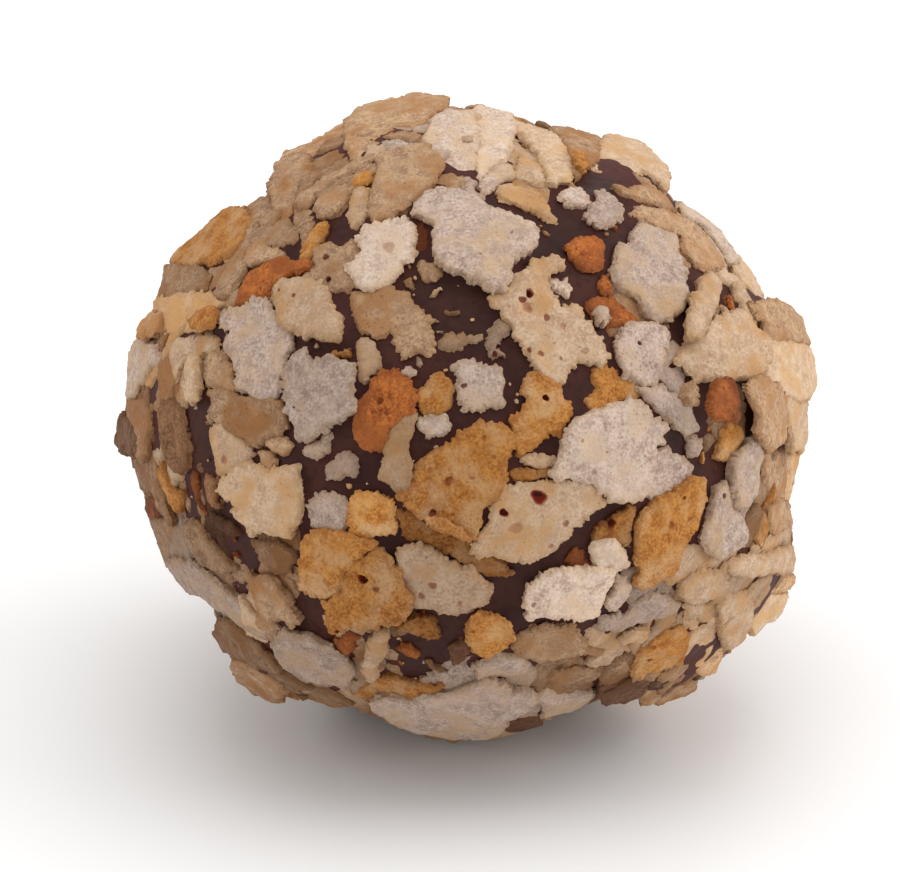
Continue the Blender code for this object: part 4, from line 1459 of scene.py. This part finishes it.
@dataclass(frozen=True)
class WaferFinish:
    """The finish of one baking of wafer.

    Attributes:
        base: Its own colour.
        blush: Its second colour, where it baked differently.
        shadow: The colour of its mottles.
        rim: The colour along its broken edges and sides: browned crumb, and painted shade.
        pore: The colour inside its pores: their reddish-brown, and painted shade in them.
        mottling: How strongly the mottles show.
        patchy: How unevenly the second colour lies.
        specked: How strongly the small dark pores show.
        glint_strength: How strongly the small pale specks show, painted glints on the crumb.
        grain: How rough its crumb is.
        roughness: How matt it is.
        painted_glint: The colour of the small pale specks, painted glints.
        pale: What a lighter flake is mixed with: its own paler tone, and painted light.
        dark: What a darker flake is darkened with: its own darker tone, and painted shade.
        gloss: How much light it throws back.
        relief: The strength and height of its crumb.
    """

    base: Colour
    blush: Colour
    shadow: Colour
    rim: Colour
    pore: Colour
    mottling: float = 0.35
    patchy: float = 0.5
    specked: float = 0.14
    glint_strength: float = 0.10
    grain: float = 1.0
    roughness: float = 0.88
    painted_glint: Colour = (0.56, 0.38, 0.22, 1.0)
    pale: Colour = (1.0, 0.93, 0.84, 1.0)
    dark: Colour = (0.30, 0.24, 0.20, 1.0)
    gloss: float = 0.22
    relief: Pair = (0.48, 0.00009)

    def material(self, name: str, crumb: NodeTree) -> Material:
        """Builds the finish as a material.

        Args:
            name: The material's name.
            crumb: The shared group of mottles and height.

        Returns:
            The material.
        """
        made, wire = new_material(name)
        rim = wire.carried("rim")
        tone = wire.carried("tone")
        pattern = wire.node("ShaderNodeGroup", {"node_tree": crumb}, Grain=self.grain, Rim=rim)
        patches, mottle = pattern.outputs["Patches"], pattern.outputs["Mottle"]
        uneven = wire.times(wire.math("SUBTRACT", patches, 0.5), self.patchy)
        share = wire.span(wire.math("ADD", wire.carried("blush"), uneven), 0.0, 1.0)
        colour = wire.mix(share, self.base, self.blush)
        baked = wire.times(wire.times(mottle, self.mottling), wire.span(patches, 0.0, 1.0, 1.5, 0.5))
        colour = wire.mix(baked, colour, self.shadow)
        # The band along the edges: browned crumb, and painted shade that leaves the middle lighter.
        edge_band = wire.times(wire.span(rim, 0.25, 1.0), wire.span(mottle, 0.0, 1.0, 0.35, 0.85))
        colour = wire.mix(edge_band, colour, self.rim)
        colour = wire.mix(wire.times(pattern.outputs["Specks"], self.specked), colour, self.pore)
        # Painted glints: small pale specks over the colour.
        colour = wire.mix(wire.times(pattern.outputs["PaintedGlints"], self.glint_strength), colour, self.painted_glint)
        # A flake's tone: its own lighter or darker colour, with painted light and painted shade.
        light = wire.span(tone, 0.0, 2.0, 0.0, 0.84)
        dark = wire.span(tone, -1.0, 0.0, 0.62, 0.0)
        colour = wire.mix(light, colour, self.pale, "SOFT_LIGHT")
        colour = wire.mix(dark, colour, self.dark, "MULTIPLY")
        # Inside the pores: their reddish-brown, with painted shade that deepens with their depth.
        colour = wire.mix(wire.carried("pore_and_shade"), colour, self.pore)
        matt = wire.span(mottle, 0.0, 1.0, self.roughness - 0.08, 0.97)
        strength, height = self.relief
        bump = wire.node("ShaderNodeBump", Strength=strength, Distance=height,
                         Height=pattern.outputs["Height"])
        wire.paint(Base_Color=colour, Roughness=matt, Specular_IOR_Level=self.gloss,
                   Normal=bump.outputs["Normal"])
        return made


FINISHES: dict[Kind, WaferFinish] = {
    CHALK: WaferFinish(linear(198, 176, 160), linear(188, 154, 116), linear(142, 118, 106),
                       linear(170, 140, 112), linear(124, 58, 46), mottling=0.56, patchy=0.8, specked=0.38),
    CREAM: WaferFinish(linear(200, 172, 143), linear(186, 140, 90), linear(160, 124, 98),
                       linear(172, 136, 98), linear(132, 46, 28), mottling=0.50, patchy=1.0, grain=0.9,
                       specked=0.28),
    BISCUIT: WaferFinish(linear(184, 150, 116), linear(156, 108, 64), linear(126, 92, 72),
                         linear(150, 112, 78), linear(104, 48, 32), mottling=0.55, patchy=1.1, grain=1.1,
                         specked=0.42),
    GOLDEN: WaferFinish(linear(185, 127, 62), linear(188, 148, 104), linear(138, 78, 32),
                        linear(154, 102, 54), linear(124, 38, 16), mottling=0.66, patchy=1.2, specked=0.36,
                        glint_strength=0.30),
    RUST: WaferFinish(linear(176, 101, 44), linear(116, 60, 32), linear(108, 50, 24),
                      linear(134, 76, 40), linear(88, 30, 16), mottling=0.62, patchy=1.0, grain=1.1,
                      glint_strength=0.25),
    SMEARED: WaferFinish(linear(126, 90, 62), linear(94, 56, 34), linear(78, 50, 34),
                         linear(110, 76, 50), linear(56, 34, 26), mottling=0.60, patchy=0.9, grain=0.9,
                         roughness=0.80),
}


@dataclass(frozen=True)
class ChocolateFinish:
    """The finish of the dark chocolate: satin, with a faint bloom and fine waves.

    Attributes:
        base: Its own colour.
        bloom: The colour of its wide pale clouds.
        deep: The colour of its fine dark ones.
        thin: Its colour where it creeps up a flake.
        satin: The least and the most that it is matt.
        gloss: How much light it throws back.
        waves: The strength and height of its wide waves, then of its fine ones.
    """

    base: Colour = linear(54, 27, 22)
    bloom: Colour = linear(70, 39, 32)
    deep: Colour = linear(36, 18, 15)
    thin: Colour = linear(80, 28, 22)
    satin: Pair = (0.50, 0.68)
    gloss: float = 0.14
    waves: tuple[Pair, ...] = ((0.5, 0.00012), (0.25, 0.00003))

    def material(self) -> Material:
        """Builds the finish as a material."""
        made, wire = new_material(CHOCOLATE_SLOT)
        place = wire.place()
        wide, fine = wire.clouds(place, 0.0024, 2.0), wire.clouds(place, 0.00035, 3.0)
        colour = wire.mix(wire.span(wide, 0.40, 0.62), self.base, self.bloom)
        colour = wire.mix(wire.span(fine, 0.50, 0.68, 0.0, 0.5), colour, self.deep)
        colour = wire.mix(wire.span(wire.carried("near"), 0.20, 0.80, 0.0, 0.45), colour, self.thin)
        matt = wire.span(wide, 0.35, 0.65, *self.satin)
        (strong, tall), (weak, flat) = self.waves
        low = wire.node("ShaderNodeBump", Strength=strong, Distance=tall, Height=wire.clouds(place, 0.0009))
        bump = wire.node("ShaderNodeBump", Strength=weak, Distance=flat, Height=fine,
                         Normal=low.outputs["Normal"])
        wire.paint(Base_Color=colour, Roughness=matt, Specular_IOR_Level=self.gloss,
                   Normal=bump.outputs["Normal"])
        return made


# The pieces.


@dataclass
class WaferPiece:
    """All the flakes of one baking, as one mesh.

    Attributes:
        kind: The baking.
        plates: The flakes in their places.
        breakage: How wafer breaks.
        box: The lowest and highest corners that the flakes keep inside.
        levels: Each ring of the broken side: how deep it lies, as a share of the
            thickness, and how far it stands out, in millimetres.
        crumble: The grain and height of the relief that covers the whole flake.
        crisp: The angle above which an edge stays crisp.
        torn: The grain and depth of the broken side's own unevenness, in millimetres.
    """

    kind: Kind
    plates: list[Plate]
    breakage: Breakage
    box: tuple[Vector, Vector]
    levels: tuple[Pair, ...] = ((0.0, -0.02), (0.15, 0.01), (0.5, 0.0), (1.0, -0.07))
    crumble: tuple[Pair, ...] = ((0.00060, 0.00012), (0.00024, 0.00006))
    crisp: float = math.radians(48)
    torn: Pair = (0.45, 0.12)

    def build(self) -> Object:
        """Makes the mesh: upper sides, then their thickness, then their relief."""
        sheets = [self.breakage.sheet(plate, self.seed(index)) for index, plate in enumerate(self.plates)]
        obj = self.upper_sides(sheets)
        select_only(obj)
        self.thicken(obj)
        self.shape_sides(obj.data)
        bpy.ops.object.mode_set(mode="EDIT")
        bpy.ops.mesh.select_all(action="SELECT")
        bpy.ops.mesh.normals_make_consistent(inside=False)
        bpy.ops.object.mode_set(mode="OBJECT")
        for index, (grain, strength) in enumerate(self.crumble):
            roughen(obj, f"{self.kind.value}_relief_{index}", grain, strength)
        self.keep_in_box(obj.data)
        bpy.ops.object.shade_smooth_by_angle(angle=self.crisp)
        return obj

    def seed(self, index: int) -> Vector:
        """Where in the noise a flake lies."""
        row = list(Kind).index(self.kind)
        return Vector((31.7 * index, 17.3 * row, 5.1 * index))

    def upper_sides(self, sheets: Sequence[Sheet]) -> Object:
        """Joins the flakes' upper sides into one object."""
        obj = new_object(self.kind.value, *joined((s.places, s.faces) for s in sheets))
        mesh = obj.data
        for name in sheets[0].values:
            set_values(mesh, name, np.concatenate([s.values[name] for s in sheets]))
        set_values(mesh, "home", get_places(mesh))
        set_values(mesh, "level", np.zeros(len(mesh.vertices)))
        return obj

    def thicken(self, obj: Object) -> None:
        """Extrudes the upper sides once for each ring of the broken side."""
        bpy.ops.object.mode_set(mode="EDIT")
        bpy.ops.mesh.select_all(action="SELECT")
        for level in range(1, len(self.levels)):
            bpy.ops.mesh.extrude_region()
            bpy.ops.object.mode_set(mode="OBJECT")
            chosen = np.empty(len(obj.data.vertices), dtype=bool)
            obj.data.vertices.foreach_get("select", chosen)
            values = get_values(obj.data, "level")
            values[chosen] = level
            set_values(obj.data, "level", values)
            bpy.ops.object.mode_set(mode="EDIT")
        bpy.ops.object.mode_set(mode="OBJECT")

    def shape_sides(self, mesh: Mesh) -> None:
        """Moves each ring to its depth, sinks the pores and crumbles the broken side."""
        level = get_values(mesh, "level").astype(int)
        depth = np.array([share for share, _ in self.levels])[level]
        stands = np.array([way for _, way in self.levels])[level] * MM
        home, outward, side = (get_values(mesh, name) for name in ("home", "outward", "side"))
        down = depth * get_values(mesh, "thick") + np.where(level == 0, get_values(mesh, "drop"), 0)
        torn = np.zeros(len(level))
        grain, reach = self.torn
        walls = np.flatnonzero((level > 0) & (np.abs(side).sum(axis=1) > 0.5))
        for index in walls:
            spot = Vector(home[index]) / MM
            torn[index] = noise.noise(spot / grain + Vector((0, 0, level[index] * 1.7))) * reach * MM
        set_places(mesh, home - outward * down[:, None] + side * (stands + torn)[:, None])
        # The broken sides take the rim colour in full: browned crumb and painted shade.
        rim = get_values(mesh, "rim")
        rim[(level > 0) & (level < len(self.levels) - 1)] = 1.0
        set_values(mesh, "rim", rim)
        pore_and_shade = get_values(mesh, "pore_and_shade")
        pore_and_shade[level > 0] = 0
        set_values(mesh, "pore_and_shade", pore_and_shade)
        for name in ("home", "outward", "side", "drop", "level", "thick"):
            mesh.attributes.remove(mesh.attributes[name])

    def keep_in_box(self, mesh: Mesh) -> None:
        """Presses what would stand out of the ball's own sizes back inside them."""
        places = get_places(mesh)
        set_places(mesh, np.clip(places, np.array(self.box[0]), np.array(self.box[1])))


@dataclass
class Chocolate:
    """The dark chocolate ball, which creeps a little way up the flakes that lie in it.

    Attributes:
        lookout: The camera, from where the ball's lumpy outer edge is known.
        centre: Its middle.
        half: Its half width, half depth and half height, before it follows that edge.
        box: The lowest and highest corners of the whole ball.
        steps: How finely its round surface is divided.
        lumps: The grain and height of its unevenness.
        coat: How far inside the outer edge it stays, in millimetres.
        swell: The deepest hollow and the highest bulge along its rim, in millimetres.
        band: How far the hollows and bulges reach to both sides of the rim, as the
            cosine between the surface's way out and the camera's.
        creep: How far it reaches up to the underside of a flake.
        room: How far it stays inside that box's lowest and highest corners, in millimetres.
    """

    lookout: Lookout
    centre: Vector
    half: Vector
    box: tuple[Vector, Vector]
    steps: int = 7
    lumps: Pair = (0.0042, 0.00034)
    coat: float = 0.55
    swell: Pair = (-0.9, 1.0)
    band: float = 0.50
    creep: float = 0.00042
    room: tuple[tuple[float, float, float], ...] = ((0.3, 0.3, 0.02), (0.3, 0.3, 0.35))

    def build(self) -> Object:
        """Makes the ball from a primitive, and gives it its lumps."""
        bpy.ops.object.select_all(action="DESELECT")
        bpy.ops.mesh.primitive_ico_sphere_add(
            subdivisions=self.steps, radius=1, location=self.centre, scale=self.half
        )
        obj = bpy.context.object
        obj.name = obj.data.name = "chocolate_core"
        bpy.ops.object.transform_apply(location=True, rotation=True, scale=True)
        self.follow_edge(obj.data)
        roughen(obj, "chocolate_lumps", *self.lumps)
        bpy.ops.object.shade_smooth()
        return obj

    @staticmethod
    def surface(obj: Object) -> BVHTree:
        """The ball's surface, for flakes to rest on."""
        places = [v.co for v in obj.data.vertices]
        return BVHTree.FromPolygons(places, [list(p.vertices) for p in obj.data.polygons])

    def ways_out(self, places: Array) -> Array:
        """The way out of the plain round ball at each place."""
        ways = (places - np.array(self.centre)) / np.array(self.half) ** 2
        return ways / np.linalg.norm(ways, axis=1)[:, None]

    def follow_edge(self, mesh: Mesh) -> None:
        """Swells the ball's rim, or draws it in, so that it follows the outer edge."""
        look = self.lookout
        middle = np.array(look.pixel(self.centre))
        rim = corners(SILHOUETTE) - middle
        sides = np.roll(rim, -1, axis=0) - rim
        turns = np.radians(np.arange(0, 360, 3))
        tall = math.hypot(self.half.y * math.sin(look.elevation), self.half.z * math.cos(look.elevation))
        wanted = []
        for turn in turns:
            x, y = math.cos(turn), math.sin(turn)
            slant = x * sides[:, 1] - y * sides[:, 0]
            share = (rim[:, 0] * y - rim[:, 1] * x) / slant
            reach = (rim[:, 0] * sides[:, 1] - rim[:, 1] * sides[:, 0]) / slant
            edge = reach[(share >= 0) & (share <= 1)].max() / look.pixels_per_mm
            wanted.append(edge - self.coat - 1 / math.hypot(x / self.half.x, y / tall) / MM)
        for _ in range(3):
            wanted = (np.roll(wanted, 1) + 2 * np.asarray(wanted) + np.roll(wanted, -1)) / 4
        wanted = np.clip(wanted, *self.swell)
        places = get_places(mesh)
        ways = self.ways_out(places)
        shown = np.array([look.pixel(Vector(place)) for place in places]) - middle
        turn = np.arctan2(shown[:, 1], shown[:, 0]) % (2 * math.pi)
        grown = np.interp(turn, np.append(turns, 2 * math.pi), np.append(wanted, wanted[0]))
        grown *= np.exp(-((ways @ np.array(look.back) / self.band) ** 2)) * MM
        room = np.array(self.room) * MM
        places = places + ways * grown[:, None]
        set_places(mesh, np.clip(places, np.array(self.box[0]) + room[0], np.array(self.box[1]) - room[1]))

    def wet(self, mesh: Mesh, plates: Sequence[Plate]) -> None:
        """Raises the chocolate under each flake, and softly down again beside it.

        Args:
            mesh: The ball's mesh.
            plates: The flakes that lie in it.
        """
        under, skin, easing = 0.6 * MM, 0.03 * MM, 0.6
        tree = BVHTree.FromPolygons(*joined(plate.solid() for plate in plates))
        places = get_places(mesh)
        ways = self.ways_out(places)
        raised = np.zeros(len(places))
        near = np.zeros(len(places))
        for index, (place, way) in enumerate(zip(places, ways)):
            start = Vector(place) - Vector(way) * under
            hit = tree.ray_cast(start, Vector(way), under + self.creep)
            if hit[0] is not None:
                raised[index] = max(0.0, hit[3] - under + skin)
                near[index] = 1.0
        edges = np.empty(len(mesh.edges) * 2, dtype=np.int32)
        mesh.edges.foreach_get("vertices", edges)
        edges = edges.reshape(-1, 2)
        ties = np.bincount(edges.ravel(), minlength=len(places))
        for _ in range(3):
            for values in (raised, near):
                total = np.bincount(edges[:, 0], values[edges[:, 1]], len(places))
                total += np.bincount(edges[:, 1], values[edges[:, 0]], len(places))
                values += easing * (total / ties - values)
        set_places(mesh, places + ways * raised[:, None])
        set_values(mesh, "near", near)


@dataclass
class Crumbs:
    """The fine crumbs that cling to the bare chocolate.

    Attributes:
        crust: The flakes, between which the crumbs lie.
        count: How many places are tried.
        radius: The smallest and largest crumbs' radius, in millimetres.
        stretch: How much a crumb may be squeezed or stretched.
        dents: How deep its dents are, and how close together.
        tones: From the darkest crumb to the lightest.
        seat: How far its middle stands off the chocolate, in millimetres.
        crisp: The angle above which an edge stays crisp.
    """

    crust: Crust
    count: int = 900
    radius: Pair = (0.04, 0.13)
    stretch: Pair = (0.6, 1.3)
    dents: Pair = (0.45, 1.4)
    tones: Pair = (-0.6, 0.4)
    seat: float = 0.06
    crisp: float = math.radians(50)

    def build(self) -> Object:
        """Makes one crumb from a primitive and copies it to each bare place."""
        bpy.ops.object.select_all(action="DESELECT")
        bpy.ops.mesh.primitive_ico_sphere_add(subdivisions=1, radius=1)
        crumb = bpy.context.object
        shape = get_places(crumb.data)
        faces = [list(face.vertices) for face in crumb.data.polygons]
        bpy.data.objects.remove(crumb, do_unlink=True)
        chance = self.crust.chance
        deep, close = self.dents
        parts, tones, blushes = [], [], []
        for index, place in enumerate(self.bare_places()):
            radius = chance.uniform(*self.radius) * MM
            stretch = np.array([chance.uniform(*self.stretch) for _ in range(3)])
            shift = Vector((index, 0, 0))
            dents = np.array([1 + deep * noise.noise(Vector(p) * close + shift) for p in shape])
            spin = np.array(Matrix.Rotation(chance.uniform(0, 6.28), 3, Vector((1, chance.random(), 0.5))))
            parts.append(((shape * dents[:, None] * stretch * radius) @ spin.T + np.array(place), faces))
            tones.append(np.full(len(shape), chance.uniform(*self.tones)))
            blushes.append(np.full(len(shape), chance.random()))
        obj = new_object("wafer_crumbs", *joined(parts))
        mesh = obj.data
        for name, values in (("tone", tones), ("blush", blushes)):
            set_values(mesh, name, np.concatenate(values))
        for name in ("rim", "pore_and_shade"):
            set_values(mesh, name, np.zeros(len(mesh.vertices)))
        select_only(obj)
        bpy.ops.object.shade_smooth_by_angle(angle=self.crisp)
        return obj

    def bare_places(self) -> Iterator[Vector]:
        """Places on the chocolate that no flake covers."""
        crust = self.crust
        for _ in range(self.count):
            way = Vector([crust.chance.gauss(0, 1) for _ in range(3)]).normalized()
            if not crust.covered(way):
                near = crust.surface_at(way)
                yield near + crust.normal_at(near) * (self.seat * MM)


# The stage.


@dataclass(frozen=True)
class Studio:
    """A pale floor and soft light.

    Attributes:
        floor_side: The floor's side.
        floor_colour: The floor's colour.
        floor_roughness: How matt the floor is.
        sky: How bright the light from all round is.
        lamps: Each lamp's azimuth and elevation in degrees, its distance, its side and
            its power in watts.
    """

    floor_side: float = 3.0
    floor_colour: Colour = (0.94, 0.94, 0.94, 1.0)
    floor_roughness: float = 0.9
    sky: float = 0.42
    lamps: tuple[tuple[float, float, float, float, float], ...] = (
        (0, 86, 0.30, 0.26, 0.42),
        (88, 28, 0.30, 0.26, 0.56),
        (-92, 22, 0.32, 0.26, 0.36),
        (178, 30, 0.32, 0.24, 0.26),
        (20, 6, 0.36, 0.28, 0.17),
    )

    def set_up(self, target: Vector) -> None:
        """Adds the floor, the lamps and the light from all round.

        Args:
            target: What the lamps point at.
        """
        bpy.ops.object.select_all(action="DESELECT")
        bpy.ops.mesh.primitive_plane_add(size=self.floor_side)
        floor = bpy.context.object
        floor.name = "pale_floor"
        paint, wire = new_material("pale_floor")
        wire.paint(Base_Color=self.floor_colour, Roughness=self.floor_roughness)
        floor.data.materials.append(paint)
        floor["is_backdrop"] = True
        for index, (azimuth, elevation, distance, side, power) in enumerate(self.lamps):
            turn, rise = math.radians(azimuth), math.radians(elevation)
            way = Vector((math.sin(turn) * math.cos(rise), -math.cos(turn) * math.cos(rise), math.sin(rise)))
            facing = way.to_track_quat("Z", "Y").to_euler()
            bpy.ops.object.light_add(type="AREA", location=target + way * distance, rotation=facing)
            lamp = bpy.context.object
            lamp.name = f"soft_lamp_{index}"
            lamp.data.size = side
            lamp.data.energy = power
        world = bpy.data.worlds.new("pale_room")
        world.use_nodes = True
        backdrop = world.node_tree.nodes["Background"]
        backdrop.inputs["Color"].default_value = (1.0, 1.0, 1.0, 1.0)
        backdrop.inputs["Strength"].default_value = self.sky
        bpy.context.scene.world = world
        bpy.context.scene.view_settings.view_transform = "Standard"


def dress(obj: Object, material: Material) -> None:
    """Gives a piece its material and its body, and reports it."""
    obj.data.materials.clear()
    obj.data.materials.append(material)
    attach(obj, BODY)
    LOG.info("%s: %d faces", obj.name, len(obj.data.polygons))


def main() -> None:
    """Builds the stage, the chocolate, the crust on it and the crumbs, in that order."""
    logging.basicConfig(level=logging.INFO, format="%(name)s: %(message)s")
    cad_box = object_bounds()
    low, high = (Vector(corner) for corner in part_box(CAD_NODE))
    middle, half = (low + high) / 2, (high - low) / 2
    lookout = Lookout(ball_centre=middle)
    lookout.set_up()
    Studio().set_up(middle)

    coat_over, coat_under = Vector((1.10, 1.15, 0.85)) * MM, 0.15 * MM
    core_half = half - Vector((coat_over.x, coat_over.y, (coat_over.z + coat_under) / 2))
    core_centre = middle - Vector((0, 0, (coat_over.z - coat_under) / 2))
    chocolate = Chocolate(lookout, core_centre, core_half, (low, high))
    core = chocolate.build()
    crust = Crust(lookout, chocolate.surface(core), core_centre, core_half, random.Random(SEED), half)
    for seen in FRONT:
        crust.seat_seen(seen)
    LOG.info("front: %d flakes", len(crust.plates))
    crust.fill_between(spacing=10)
    LOG.info("with the small ones between: %d flakes", len(crust.plates))
    crust.cover_the_rest(tries=2400, bare=0.22)
    LOG.info("all round: %d flakes", len(crust.plates))

    chocolate.wet(core.data, crust.plates)
    dress(core, ChocolateFinish().material())
    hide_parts(CAD_NODE)

    crumb = crumb_group()
    materials = {kind: FINISHES[kind].material(kind.value, crumb) for kind in Kind}
    for kind in Kind:
        plates = [plate for plate in crust.plates if plate.kind is kind]
        piece = WaferPiece(kind, plates, Breakage(), (low, high)).build()
        dress(piece, materials[kind])
    dress(Crumbs(crust).build(), materials[CREAM])

    boxes = {"cad": cad_box, "visual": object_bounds()}
    {name: [list(corner) for corner in box] for name, box in boxes.items()}


if __name__ == "__main__":
    main()
